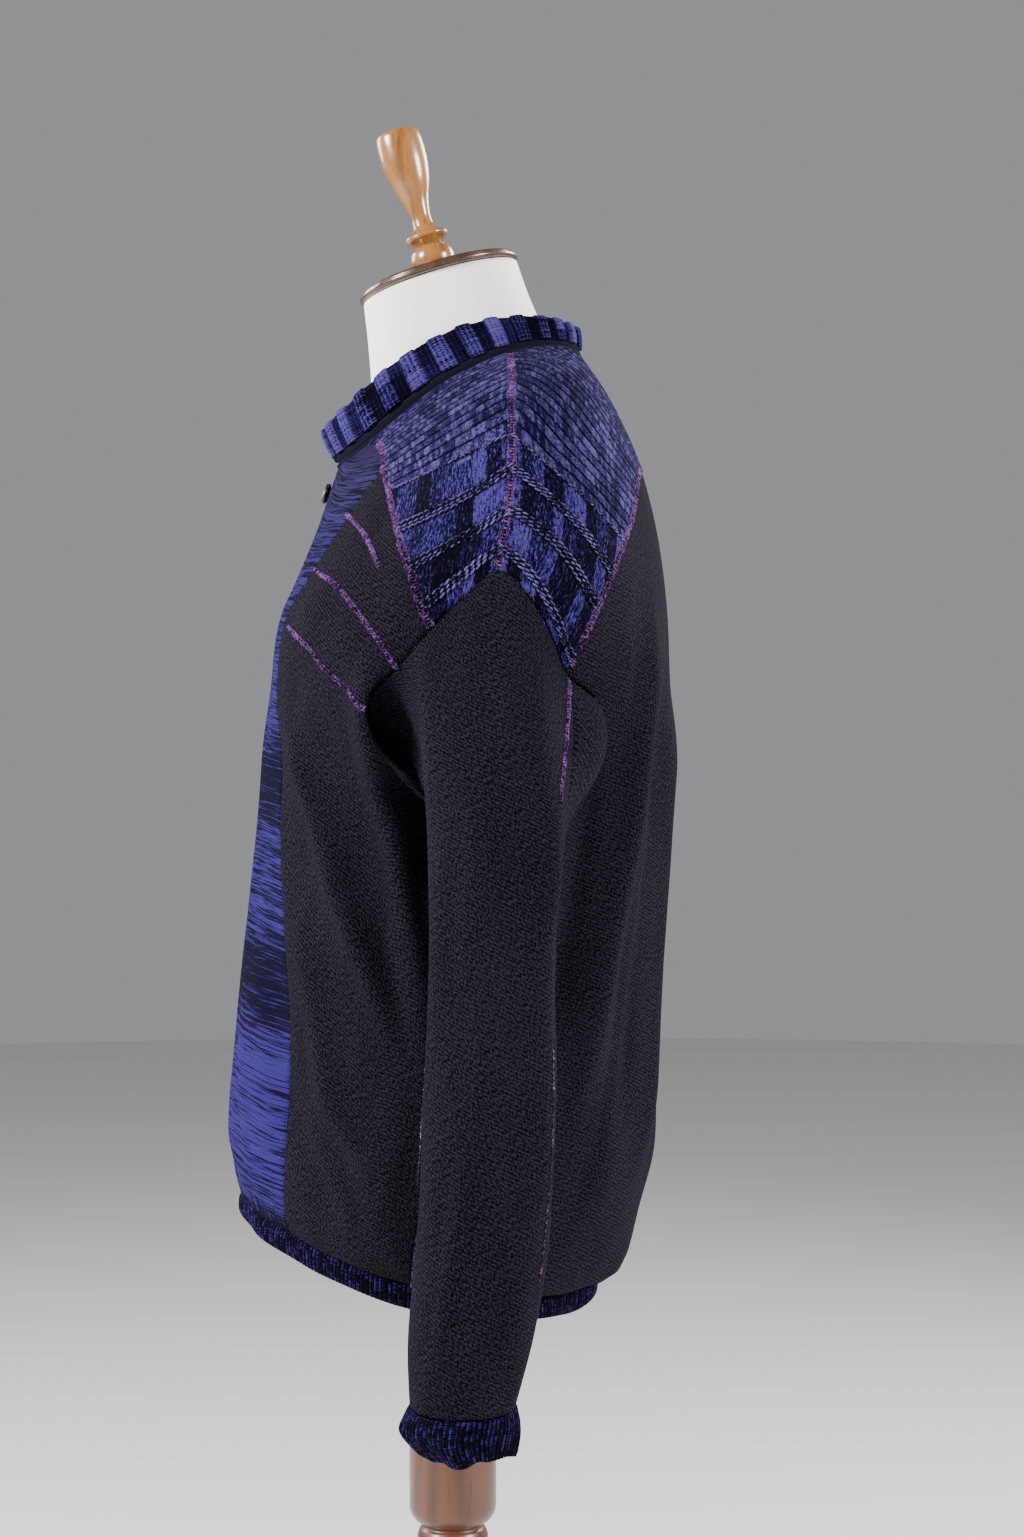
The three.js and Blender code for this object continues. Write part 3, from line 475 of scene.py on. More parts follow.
def ringPoint(rows, angle, level):
    angle, level = np.broadcast_arrays(np.asarray(angle, float), np.asarray(level, float))
    row = catmull(rows, np.clip(level, 0, len(rows) - 1))
    frontY, frontZ, sideX, sideY, sideZ, backY, backZ, roundFront, roundBack, dip = np.moveaxis(row, -1, 0)
    c, s = np.cos(angle * degree), np.sin(angle * degree)
    front = s < 0
    shape = 2 / np.where(front, roundFront, roundBack)
    along = power(s, shape)
    depth = np.where(front, sideY - frontY, backY - sideY)
    slope = (backZ - frontZ) / 2
    bow = (backZ + frontZ) / 2 - sideZ
    sag = np.where(front, dip * np.sin(2 * angle * degree) ** 2, 0)
    return np.stack([sideX * power(c, shape), sideY + depth * along,
                     sideZ + slope * along + bow * along * along - sag], -1)


def unit(v):
    return v / np.maximum(np.linalg.norm(v, axis=-1, keepdims=True), 1e-9)


def surfaceNormal(point, u, v, du, dv):
    return unit(np.cross(point(u + du, v) - point(u - du, v), point(u, v + dv) - point(u, v - dv)))


def fade(t):
    f = np.clip(t, 0, 1)
    return f * f * (3 - 2 * f)


def bump(d):
    return np.exp(-d * d)


def foldHeight(angle, level):
    far = np.cos(angle * degree) < 0
    a = np.where(far, 180 - angle, angle)
    a = np.where(a > 180, a - 360, a)
    total = np.zeros(np.broadcast(angle, level).shape)
    for a0, l0, a1, l1, a2, l2, width, height in bodyFolds + fineFolds:
        shift = np.where(far, farFold["shift"] * math.sin(a0), 0)
        f = (l0 - level) / (l0 - l2)
        middle = (l0 - l1) / (l0 - l2)
        line = np.where(f < middle, a0 + (a1 - a0) * (f / middle),
                        a1 + (a2 - a1) * ((f - middle) / (1 - middle)))
        ends = fade(f / 0.3 + 0.35) * fade((1 - f) / 0.35 + 0.35)
        total = total + height * np.where(far, farFold["scale"], 1) * bump((a - line - shift) / width) * ends
    loose = fade((9.6 - level) / 1.5)
    wobble = (np.sin(angle * 0.19 + level * 1.7) + np.sin(angle * 0.31 - level * 2.3 + 1.1)
              + np.sin(angle * 0.11 + level * 3.1 + 2.0))
    return total + 0.38 * wobble * loose


def bodyPoint(angle, level):
    angle, level = np.broadcast_arrays(np.asarray(angle, float), np.asarray(level, float))

    def base(a, l):
        return ringPoint(levels, a, l)
    out = surfaceNormal(base, angle, np.clip(level, 0.03, neckline - 0.03), 0.7, 0.03)
    return base(angle, level) + out * foldHeight(angle, level)[..., None]


def bodyNormal(angle, level):
    return surfaceNormal(bodyPoint, angle, np.clip(level, 0.05, neckline - 0.05), 0.7, 0.04)


def lengthsAlong(points, axis=0):  # millimetres along a run, or along a grid's rows or columns
    steps = np.cumsum(np.linalg.norm(np.diff(points, axis=axis), axis=-1), axis=axis)
    return np.insert(steps, 0, 0, axis=axis)


def mirrored(places):  # the same places on the wearer's other side
    return places * [-1, 1] + [180, 0]


# A seam is a run of places on the surface, asked for by its share of the length
class Seam:
    def __init__(self, places):
        self.places = np.asarray(places, float)
        run = lengthsAlong(bodyPoint(self.places[:, 0], self.places[:, 1]))
        self.length = run[-1]
        self.share = run / run[-1]

    def __call__(self, t):
        return np.stack([np.interp(t, self.share, self.places[:, k]) for k in (0, 1)], -1)

    def back(self):
        return Seam(self.places[::-1])


def seamOf(rows):
    return Seam(catmull(rows, np.linspace(0, len(rows) - 1, 300)))


def ringRun(start, end, level):
    return Seam(np.stack([np.linspace(start, end, 200), np.full(200, float(level))], -1))


def joined(*parts):  # seams end to end, each with its part of the whole share
    total = sum(weight for _, weight in parts)

    def place(t):
        t = np.asarray(t, float)
        out = np.zeros(t.shape + (2,))
        start = 0.0
        for seam, weight in parts:
            end = start + weight / total
            inside = (t >= start - 1e-9) & (t <= end + 1e-9)
            out[inside] = seam(np.clip((t[inside] - start) / (end - start), 0, 1))
            start = end
        return out
    return place


def patch(bottom, top, left, right, s, t):
    b, e = bottom(s)[None], top(s)[None]
    l, r = left(t)[:, None], right(t)[:, None]
    s2, t2 = s[None, :, None], t[:, None, None]
    ends = [f(np.array([x]))[0] for f in (bottom, top) for x in (0.0, 1.0)]
    return ((1 - t2) * b + t2 * e + (1 - s2) * l + s2 * r - (1 - s2) * (1 - t2) * ends[0]
            - s2 * (1 - t2) * ends[1] - (1 - s2) * t2 * ends[2] - s2 * t2 * ends[3])


armhole = np.array([[0, 9.9], [9, 9.4], [15, 8.85], [20.2, 8.3], [31, 7.85], [31, 7.35], [20, 6.98],
                    [3, 6.85], [-12, 6.98], [-20, 7.45], [-21.3, 8.1], [-15.7, 8.49], [-10.1, 9.07], [-5.3, 9.53]])


def armholePart(start, end):
    count = len(armhole)
    around = armhole[np.arange(-1, count + 3) % count]  # one place before the first, three after the last
    return Seam(catmull(around, np.linspace(start, end, 200) + 1))


panelEdge = seamOf([
    [-46, 0], [-46, 2], [-47.6, 4], [-51.5, 5], [-56, 5.8], [-59.6, 6.9], [-63.5, 7.7], [-66.5, 8.5],
    [-66.5, 9], [-63, 9.6], [-60.5, 10.5], [-57.6, 11.7], [-54, 12.3], [-47.5, 12.8]])
yokeNeck = seamOf([[-50, 15], [-49, 14], [-47.5, 12.8]])
yokeFront = seamOf([[-47.5, 12.8], [-39.8, 11.7], [-31.9, 10.83], [-20.3, 9.92], [-10.1, 9.07]])
shoulder = seamOf([[22, 15], [14, 14.6], [3, 13.9], [0, 13], [0, 12], [0, 11], [0, 9.9]])
yokeBack = seamOf([
    [20.2, 8.3], [27.9, 8.97], [37.6, 9.64], [49.7, 10.54], [61.2, 11.4], [75, 11.85], [90, 12],
    [105, 11.85], [118.8, 11.4], [130.3, 10.54], [142.4, 9.64], [152.1, 8.97], [159.8, 8.3]])
sideSeam = seamOf([[-1, 0], [-1, 2], [0, 4], [3, 6.85]])
backTop = armholePart(0, 3)
backUnder = armholePart(3, 7)
frontUnder = armholePart(7, 12)
frontTop = armholePart(12, 14)

# Flattened lengths round and up the body, for the knit's direction
knitGrid = {"across": 360, "up": 150, "zero": 70}  # cells, and the row where the height is nought
mapPoints = bodyPoint(np.linspace(-180, 180, knitGrid["across"] + 1)[None, :],
                      np.linspace(0, neckline, knitGrid["up"] + 1)[:, None])
mapU = lengthsAlong(mapPoints, 1)
mapV = lengthsAlong(mapPoints, 0)
mapV = mapV - mapV[knitGrid["zero"]]


def lookUp(table, angle, level):
    x = np.mod(angle + 180, 360)
    y = np.clip(level / neckline * knitGrid["up"], 0, knitGrid["up"] - 0.001)
    i, j = np.clip(np.floor(x).astype(int), 0, knitGrid["across"] - 1), np.floor(y).astype(int)
    f, g = x - i, y - j
    return ((table[j, i] * (1 - f) + table[j, i + 1] * f) * (1 - g)
            + (table[j + 1, i] * (1 - f) + table[j + 1, i + 1] * f) * g)


def knitMap(places, middle):
    angle, level = places[..., 0], places[..., 1]
    turned = np.where(angle > 180, angle - 360, angle)
    u = lookUp(mapU, turned, level) - lookUp(mapU, np.full_like(level, middle), level)
    whole = lookUp(mapU, np.full_like(level, 179.999), level)
    u = np.where((angle > 180) | ((angle < -90) & (middle > 0)), u + whole, u)
    return np.stack([u, lookUp(mapV, turned, level)], -1) * mm


def gridShares(length, step):  # even steps, with finer ones where an edge rolls in
    edge = np.array([0, 0.5, 1.2, 2.3]) + cloth["inset"]
    count = max(int(round((length - 2 * edge[-1]) / step)), 2)
    middle = np.linspace(edge[-1], length - edge[-1], count + 1)
    run = np.r_[edge[:-1], middle, length - edge[:-1][::-1]]
    return run / length, np.minimum(run, length - run) - cloth["inset"]


def shellMesh(name, outer, inner, uv, closed=False):
    m, width = outer.shape[:2]
    n = width if closed else width - 1
    points = np.concatenate([outer.reshape(-1, 3), inner.reshape(-1, 3)]) * mm
    i, j = np.meshgrid(np.arange(m - 1), np.arange(n), indexing="ij")
    i, j = i.ravel(), j.ravel()

    def at(side, r, c):
        return side * m * width + r * width + c % width

    def corners(side, r, c):
        return np.stack([np.full_like(r, side), r, c], -1)
    quads = [
        (corners(0, i, j), corners(0, i, j + 1), corners(0, i + 1, j + 1), corners(0, i + 1, j)),
        (corners(1, i, j), corners(1, i + 1, j), corners(1, i + 1, j + 1), corners(1, i, j + 1))]
    c = np.arange(n)
    low, high = np.zeros_like(c), np.full_like(c, m - 1)
    quads.append((corners(1, low, c), corners(1, low, c + 1), corners(0, low, c + 1), corners(0, low, c)))
    quads.append((corners(0, high, c), corners(0, high, c + 1),
                  corners(1, high, c + 1), corners(1, high, c)))
    if not closed:
        r = np.arange(m - 1)
        zero, end = np.zeros_like(r), np.full_like(r, n)
        quads.append((corners(0, r, zero), corners(0, r + 1, zero),
                      corners(1, r + 1, zero), corners(1, r, zero)))
        quads.append((corners(1, r, end), corners(1, r + 1, end),
                      corners(0, r + 1, end), corners(0, r, end)))
    faces = np.concatenate([np.stack(q, 1) for q in quads])
    index = at(faces[..., 0], faces[..., 1], faces[..., 2])
    corner = points[index]
    volume = np.einsum("ij,ij->i", corner[:, 0], np.cross(corner[:, 1], corner[:, 2])).sum() \
        + np.einsum("ij,ij->i", corner[:, 0], np.cross(corner[:, 2], corner[:, 3])).sum()
    if volume < 0:
        index, faces = index[:, ::-1], faces[:, ::-1]
    obj = plainMesh(name, points, index)
    layer = obj.data.uv_layers.new(name="cloth")
    layer.data.foreach_set("uv", uv[faces[..., 1], faces[..., 2]].astype(np.float32).ravel())
    return obj


def plainMesh(name, points, faces, smooth=True):
    faces = np.asarray(faces)
    mesh = bpy.data.meshes.new(name)
    mesh.vertices.add(len(points))
    mesh.vertices.foreach_set("co", np.asarray(points, np.float32).ravel())
    mesh.loops.add(faces.size)
    mesh.loops.foreach_set("vertex_index", faces.astype(np.int32).ravel())
    mesh.polygons.add(len(faces))
    mesh.polygons.foreach_set("loop_start", np.arange(0, faces.size, faces.shape[1], dtype=np.int32))
    mesh.update(calc_edges=True)
    mesh.validate()
    mesh.polygons.foreach_set("use_smooth", [smooth] * len(mesh.polygons))
    return addObject(name, mesh)


def midArea(points, closed=False):  # square metres of a grid's middle surface
    if closed:
        points = np.concatenate([points, points[:, :1]], axis=1)
    a, b, c, d = points[:-1, :-1], points[:-1, 1:], points[1:, 1:], points[1:, :-1]
    return 0.5 * (np.linalg.norm(np.cross(b - a, c - a), axis=-1)
                  + np.linalg.norm(np.cross(c - a, d - a), axis=-1)).sum() * mm * mm


def claim(obj, material, node):
    obj.data.materials.append(materials[material])
    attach(obj, "root")
    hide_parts(node)


def dress(obj, material, node, facts):
    claim(obj, material, node)


def rolledHalf(border):  # half the wall, thinner where an edge rolls in
    return cloth["wall"] / 2 * (0.2 + 0.8 * fade(border / cloth["roll"]))


def bodyPiece(name, places, border, uv, facts, relief=0.0):
    points = bodyPoint(places[..., 0], places[..., 1])
    normals = bodyNormal(places[..., 0], places[..., 1])
    obj = shellMesh(name + "_cloth", points + normals * (rolledHalf(border) + relief)[..., None],
                    points - normals * (cloth["wall"] / 2), uv)
    facts = {**facts, "area": round(midArea(points), 4)}
    dress(obj, facts["material"], name, {**facts, "flat": flatSize(facts)})


def flatSize(facts):  # the stated cut, wider where the area asks for it
    width, length = facts["flat"]
    return (max(width, facts["area"] / length * 1.02), length)


# Front panel, of space-dyed marl, with the side panels beside it
frontFacts = {"flat": (0.25, 0.6), "material": "marl", "slot": "blue_marl_knit",
              "across": (230, 3.4), "up": (600, 4.2)}  # a rough length and the grid's step
sideFacts = {"flat": (0.29, 0.48), "material": "charcoal", "slot": "charcoal_knit",
             "across": (240, 4.6), "up": (480, 4.8)}
backFacts = {"flat": (0.62, 0.62), "material": "charcoal", "slot": "charcoal_knit",
             "across": (620, 5.0), "up": (600, 5.0)}


def pieceGrid(across, up):
    s, sideEdge = gridShares(*across)
    t, endEdge = gridShares(*up)
    return s, t, np.minimum(sideEdge[None, :], endEdge[:, None])


def frontPanel():
    edge = joined((panelEdge, 18), (yokeNeck.back(), 2))
    s, t, border = pieceGrid(frontFacts["across"], frontFacts["up"])
    places = patch(ringRun(-134, -46, 0), ringRun(-130, -50, neckline),
                   lambda t: edge(t) * [-1, 1] + [-180, 0], edge, s, t)
    bodyPiece("front_panel", places, border, knitMap(places, -90), frontFacts)


def sideFront(hand):
    s, t, border = pieceGrid(sideFacts["across"], sideFacts["up"])
    places = patch(ringRun(-46, -1, 0), yokeFront, panelEdge,
                   joined((sideSeam, 12), (frontUnder, 6)), s, t)
    if hand == "right":
        places = mirrored(places)
    bodyPiece("side_front_" + hand, places, border, knitMap(places, 0), sideFacts)


def backPanel():
    s, t, border = pieceGrid(backFacts["across"], backFacts["up"])
    near = joined((sideSeam, 12), (backUnder.back(), 6))
    places = patch(ringRun(-1, 181, 0), yokeBack, near, lambda t: mirrored(near(t)), s, t)
    bodyPiece("back_panel", places, border, knitMap(places, 90), backFacts)


frontPanel()
for hand in hands:
    sideFront(hand)
backPanel()
print("body panels ready")

# Yokes: ribs run front to back over the shoulder, counted from the neck outwards
yokeRelief = {"rib": 0.75, "valley": 1.0, "cell": 0.3, "cellEdge": 0.9, "cellShift": 5.3, "broad": 0.25,
              "broadLift": 0.45, "welt": 0.9, "weltWidth": 3.6, "groove": 0.5, "grooveAway": 4.6,
              "grooveWidth": 1.1, "edge": 3.0}
frontYokeFacts = {"flat": (0.17, 0.26), "material": "block", "slot": "block_knit",
                  "across": (115, 2.2), "step": 1.15}
backYokeFacts = {"flat": (0.56, 0.24), "material": "block", "slot": "block_knit",
                 "across": (150, 2.6), "step": 1.25}
# Where ribs cross the shoulder, the front seam and the back seam, from the neck or the centre back
ribMeets = np.array([[0, 0, 80], [172.5, 114, 199.5], [197.7, 167.1, 227.8], [227.3, 210.8, 254.2],
                     [254.9, 239.6, 297], [269, 255.5, 305.8]])
innerYoke = joined((yokeNeck, yokeNeck.length), (yokeFront, yokeFront.length))
backNeck = ringRun(90, 22, neckline)
backStart = Seam(np.concatenate([backNeck.places, shoulder.places[1:]]))
backHalf = Seam(yokeBack.places[yokeBack.places[:, 0] <= 90][::-1])
centreBack = Seam(np.array([[90, 15], [90, 13.5], [90, 12]]))


def frontEnds(t):
    run = np.interp(t * shoulder.length, ribMeets[:, 0], ribMeets[:, 1])
    return innerYoke(run / ribMeets[-1, 1])


def backEnds(t):
    crossing = np.r_[-backNeck.length, ribMeets[:, 0]]
    run = np.interp(t * backStart.length - backNeck.length, crossing, np.r_[0, ribMeets[:, 2]])
    return backHalf(run / ribMeets[-1, 2])


def ribHeight(u, v):
    row = u / blocks["row"]
    valley = np.abs(row - np.round(row)) * blocks["row"]
    cell = (v + np.floor(row) * yokeRelief["cellShift"]) / blocks["cell"]
    basket = np.abs(cell % 1 - 0.5) * blocks["cell"]
    small = yokeRelief["rib"] * (1 - bump(valley / yokeRelief["valley"])) \
        - yokeRelief["cell"] * bump(basket / yokeRelief["cellEdge"])
    outside = fade((u - blocks["split"] + 3) / 6)
    broad = yokeRelief["broad"] * np.sin(v * 0.9) * np.sin(u * 0.35) + yokeRelief["broadLift"]
    height = small * (1 - outside) + broad * outside
    for welt in blocks["welts"]:
        away = np.abs(u - welt)
        height = height + yokeRelief["welt"] * bump(away / yokeRelief["weltWidth"]) \
            - yokeRelief["groove"] * bump((away - yokeRelief["grooveAway"]) / yokeRelief["grooveWidth"])
    return height


def yokeUv(points, uRow, vStart):
    v = lengthsAlong(points, 1) + vStart[:, None]
    return np.broadcast_to(uRow[:, None], v.shape), v


def frontYoke(hand):
    s, t, border = pieceGrid(frontYokeFacts["across"], (shoulder.length, frontYokeFacts["step"]))
    places = patch(ringRun(22, -50, neckline), frontTop.back(), shoulder, frontEnds, s, t)
    points = bodyPoint(places[..., 0], places[..., 1])
    u, v = yokeUv(points, t * shoulder.length, np.zeros(len(t)))
    if hand == "right":
        places = mirrored(places)
    relief = ribHeight(u, v) * fade(border / yokeRelief["edge"])
    uv = np.stack([u, -v], -1) * mm
    bodyPiece("front_yoke_" + hand, places, border, uv, frontYokeFacts, relief)


def backYoke():  # the left half, then the same rows again in reverse for the right half
    t, _ = gridShares(backStart.length, backYokeFacts["step"])
    s, sideEdge = gridShares(*backYokeFacts["across"])
    places = patch(centreBack, backTop, backStart, backEnds, s, t)
    toShoulder = 1 - t * backStart.length / backNeck.length
    points = bodyPoint(places[..., 0], places[..., 1])
    behind = np.where(toShoulder > 0, points[:, 0, 1] - bodyPoint(22, neckline)[1], 0)
    u, v = yokeUv(points, t * backStart.length - backNeck.length, np.maximum(behind, 0))
    armEdge = (t[-1] - t[:, None]) * backStart.length
    border = np.minimum(sideEdge[None, :], armEdge)
    relief = ribHeight(u, v) * fade(border / yokeRelief["edge"])

    def whole(left, right=None):
        return np.concatenate([(left if right is None else right)[::-1], left[1:]])
    bodyPiece("back_yoke", whole(places, mirrored(places)), whole(border),
              np.stack([whole(u), whole(v)], -1) * mm, backYokeFacts, whole(relief))


for hand in hands:
    frontYoke(hand)
backYoke()
print("yokes ready")

# Sleeves: from the armhole down to hanging rings
sleeveRings = np.array([
    [1060, 207, 288, -9, 79, 2.2], [1000, 206, 294, -8, 73, 2.2], [900, 205, 300, -11, 72, 2.2],
    [826, 204, 301, -16, 69, 2.2], [786, 203, 300, -20, 65, 2.2], [745, 201, 297, -23, 58, 2.2],
    [702, 199, 291, -22, 47, 2.2]])
cuffRings = np.array([
    [701, 199, 291, -22, 47, 2.2], [694, 198, 292, -26, 48, 2.1], [685, 199, 291, -26, 47, 2],
    [671, 205, 286, -13, 43, 2]])
sleeveFolds = [  # turn at top and foot, height of top and foot, half width in degrees, height
    [-56, -58, 1190, 760, 14, 2.5], [14, 20, 1170, 790, 17, -4], [60, 56, 1130, 800, 12, 3],
    [150, 170, 1060, 760, 26, 6], [215, 225, 1050, 740, 22, 5],
    [-20, -12, 1130, 880, 8, 1.4], [40, 34, 1060, 900, 8, -1.2], [78, 70, 980, 760, 9, 1.6],
    [292, 286, 1200, 800, 10, 1.8],
    [-66, -74, 960, 790, 8, 1.3], [-30, -42, 900, 720, 7, -1.2], [100, 84, 1130, 1000, 10, -1.6]]
sleeve = {"backTurn": 88, "frontTurn": 272, "leanTop": 0.16, "leanUnder": 1.5, "start": 4.2,
          "pullStart": 0.33, "pullEnd": 0.36, "columns": 22, "top": 5, "tuckTurn": 236, "tuckWidth": 30,
          "tuckDrop": 0.8, "tuckReach": 0.5, "tuckIn": 0.8, "hollow": (-17, 4, 0), "hollowTurn": 236,
          "hollowWidth": 40, "stepAcross": 3.4, "stepDown": 4.6}
sleeveParts = {"top": {"first": -5, "count": 10, "flat": (0.15, 0.66)},
               "under": {"first": 5, "count": 12, "flat": (0.165, 0.6)}}
sideOf = {"left": [1, 1, 1], "right": [-1, 1, 1]}  # the right sleeve is the left one mirrored
armFine = 12  # places on the armhole for each column of the sleeve
armPlaces = np.concatenate([
    seam(np.linspace(0, 1, count * armFine + 1))[(0 if seam is backTop else 1):]
    for seam, count in ((backTop, 5), (backUnder, 6), (frontUnder, 6), (frontTop, 5))])


def turnOf(column):
    whole, top = sleeve["columns"], sleeve["top"]
    back, front = sleeve["backTurn"], sleeve["frontTurn"]
    return np.interp(column, [-top, 0, top, whole - top, whole, whole + top],
                     [front - 360, 0, back, front, 360, 360 + back])


def ringSection(row, turn):
    z, inner, outer, front, back, shape = np.moveaxis(row, -1, 0)
    c = power(np.cos(turn * degree), 2 / shape)
    s = power(np.sin(turn * degree), 2 / shape)
    return np.stack([(inner + outer) / 2 + (outer - inner) / 2 * c,
                     (front + back) / 2 + (back - front) / 2 * s, z + 0 * c], -1)


def sleeveFoldHeight(turn, z):
    total = np.zeros(np.broadcast(turn, z).shape)
    for turnTop, turnFoot, zTop, zFoot, width, height in sleeveFolds:
        f = (zTop - z) / (zTop - zFoot)
        away = np.mod(turn - (turnTop + (turnFoot - turnTop) * f) + 540, 360) - 180
        total = total + height * bump(away / width) * fade(f / 0.25) * fade((1 - f) / 0.25)
    wobble = np.sin(turn * 0.1 + z * 0.021) + np.sin(turn * 0.17 - z * 0.034 + 2)
    return total + 0.3 * wobble * fade((1150 - z) / 100)


def plainSleeve(column, drop):
    column, drop = np.broadcast_arrays(np.asarray(column, float), np.asarray(drop, float))
    turn = turnOf(column)
    ring = ringSection(catmull(sleeveRings, np.maximum(drop - 1, 0)), turn)
    k = np.mod(column, sleeve["columns"]) * armFine
    place = np.stack([np.interp(k, np.arange(len(armPlaces)), armPlaces[:, n]) for n in (0, 1)], -1)
    angle, level = place[..., 0], place[..., 1]
    out = bodyNormal(angle, level)
    down = unit(bodyPoint(angle, level - 0.03) - bodyPoint(angle, level + 0.03))
    lean = sleeve["leanTop"] + sleeve["leanUnder"] * (1 - np.cos(turn * degree)) / 2
    tuck = bump((turn - sleeve["tuckTurn"]) / sleeve["tuckWidth"])[..., None]
    reachFor = unit(ring - bodyPoint(angle, level))
    away = unit(down * (1 - tuck * sleeve["tuckDrop"]) + reachFor * tuck * sleeve["tuckReach"]
                + out * (lean[..., None] * (1 - tuck) - sleeve["tuckIn"] * tuck))
    stand = sleeve["start"] * np.abs((away * out).sum(-1)) + cloth["gap"] / 2
    start = bodyPoint(angle, level) + away * stand[..., None]
    reach = np.linalg.norm(ring - start, axis=-1)[..., None]
    first = start + away * reach * sleeve["pullStart"]
    second = ring + np.array([0, 0, 1.0]) * reach * sleeve["pullEnd"]
    f = np.clip(drop, 0, 1)[..., None]
    head = (start * (1 - f) ** 3 + 3 * first * f * (1 - f) ** 2
            + 3 * second * f * f * (1 - f) + ring * f ** 3)
    hollow = (bump((turn - sleeve["hollowTurn"]) / sleeve["hollowWidth"])
              * fade(drop / 0.4) * fade((3 - drop) / 1.7))
    return np.where((drop < 1)[..., None], head, ring) + hollow[..., None] * np.array(sleeve["hollow"])


def sleevePoint(column, drop):
    column, drop = np.broadcast_arrays(np.asarray(column, float), np.asarray(drop, float))
    point = plainSleeve(column, drop)
    out = -surfaceNormal(plainSleeve, column, np.maximum(drop, 0.03), 0.05, 0.03)
    return point + out * (sleeveFoldHeight(turnOf(column), point[..., 2]) * fade(drop / 0.3))[..., None]


def sleeveNormal(column, drop):
    return -surfaceNormal(sleevePoint, column, np.clip(drop, 0.04, len(sleeveRings) - 0.05), 0.05, 0.03)


def sleevePiece(part, hand):
    shape = sleeveParts[part]
    width, length = shape["flat"]
    probe = np.linspace(0, len(sleeveRings), 200)
    run = lengthsAlong(sleevePoint(shape["first"] + shape["count"] / 2, probe))
    s, t, border = pieceGrid((width / mm, sleeve["stepAcross"]), (run[-1], sleeve["stepDown"]))
    drops = np.interp(t * run[-1], run, probe)
    grid = np.meshgrid(shape["first"] + shape["count"] * s, drops)
    points, normals = sleevePoint(*grid), sleeveNormal(*grid)
    outer = points + normals * rolledHalf(border)[..., None]
    inner = points - normals * (cloth["wall"] / 2)
    across = lengthsAlong(points, 1)
    across = across - across[:, [len(s) // 2]]
    along = lengthsAlong(points, 0)
    along = along - along[np.argmin(np.abs(drops - 1.5))]
    uv = np.stack([across, -along], -1) * mm
    name = "sleeve_%s_%s" % (part, hand)
    obj = shellMesh(name + "_cloth", outer * sideOf[hand], inner * sideOf[hand], uv)
    facts = {"area": round(midArea(points), 4), "flat": shape["flat"], "on": ["front_yoke_" + hand]}
    dress(obj, "charcoal", name, {**facts, "flat": flatSize(facts)})


for hand in hands:
    for part in ("top", "under"):
        sleevePiece(part, hand)
print("sleeves ready")

# Ribs of the cuffs and hem, one rib proud and one set back
ribs = {"pitch": 3.6, "rise": 0.8, "perRib": 6, "cuffRows": 15, "cuffRow": 11, "hemRows": 9}


def ribWave(share):
    return ribs["rise"] * (power(np.sin(share * fullTurn), 0.7) * 0.5)


def ribColumns(ring, turns, last):  # the ring's length, and the turn of each column of its ribs
    lengths = lengthsAlong(np.r_[ring, ring[:1]])
    columns = int(round(lengths[-1] / ribs["pitch"])) * ribs["perRib"]
    return lengths[-1], np.interp(np.arange(columns) / columns * lengths[-1], lengths, np.r_[turns, last])


def ribBand(name, node, points, out, thin, rise, drop, length, on, side):
    half = cloth["ribWall"] / 2
    columns = points.shape[1]
    rib = ribWave(np.arange(columns) / ribs["perRib"])[None] * rise
    outer = points + out * (half * thin + rib)[..., None]
    inner = points - out * (half * thin)[..., None]
    u = np.arange(columns + 1) / ribs["perRib"] * ribs["pitch"]
    uv = np.stack(np.meshgrid(u, -drop), -1) * mm
    obj = shellMesh(name, outer * side, inner * side, uv, closed=True)
    area = round(midArea(points, True), 4)
    dress(obj, "rib", node, {
        "flat": (length * mm, area / length / mm * 1.02), "area": area, "on": [on], "held": "gathered"})


def cuffPiece(hand):
    phase = hands.index(hand)
    turns = np.linspace(0, 360, 721)[:-1]
    length, turn = ribColumns(ringSection(catmull(cuffRings, np.array([0.0])), turns), turns, 360)
    t = np.linspace(0, len(cuffRings) - 1, ribs["cuffRows"])
    rows = catmull(cuffRings, t)[:, None, :]
    turned = np.broadcast_to(turn[None], (len(t), len(turn)))
    around = turned * degree
    points = ringSection(rows, turned)
    low = (t / (len(cuffRings) - 1))[:, None]
    wave = 3.2 * low * np.cos(5 * around + phase)
    crumple = low * (1.1 * np.sin(9 * around + 2 * low + phase * 2) + 0.8 * np.sin(14 * around + 1))
    middle = np.stack([(rows[..., 1] + rows[..., 2]) / 2, (rows[..., 3] + rows[..., 4]) / 2, rows[..., 0]], -1)
    out = unit(points - middle)
    points = points + out * (wave + crumple)[..., None]
    points[..., 2] += low * (1.6 * np.sin(3 * around + phase) + 1.0 * np.sin(7 * around))
    thin = (1 - 0.55 * fade((low - 0.93) / 0.07)) * (1 - 0.5 * fade((0.06 - low) / 0.06))
    ribBand("cuff_%s_rib" % hand, "cuff_" + hand, points, out, thin, fade(t / 0.25)[:, None],
            t * ribs["cuffRow"], length, "sleeve_top_" + hand, sideOf[hand])


hem = {"height": 17, "tuck": 0.25, "clear": 0.1, "middleY": -24}
hemRows = np.array([[0, -1.5], [0.3, 0.8], [0.7, 0.6], [1, -1]])  # share of the height, bulge


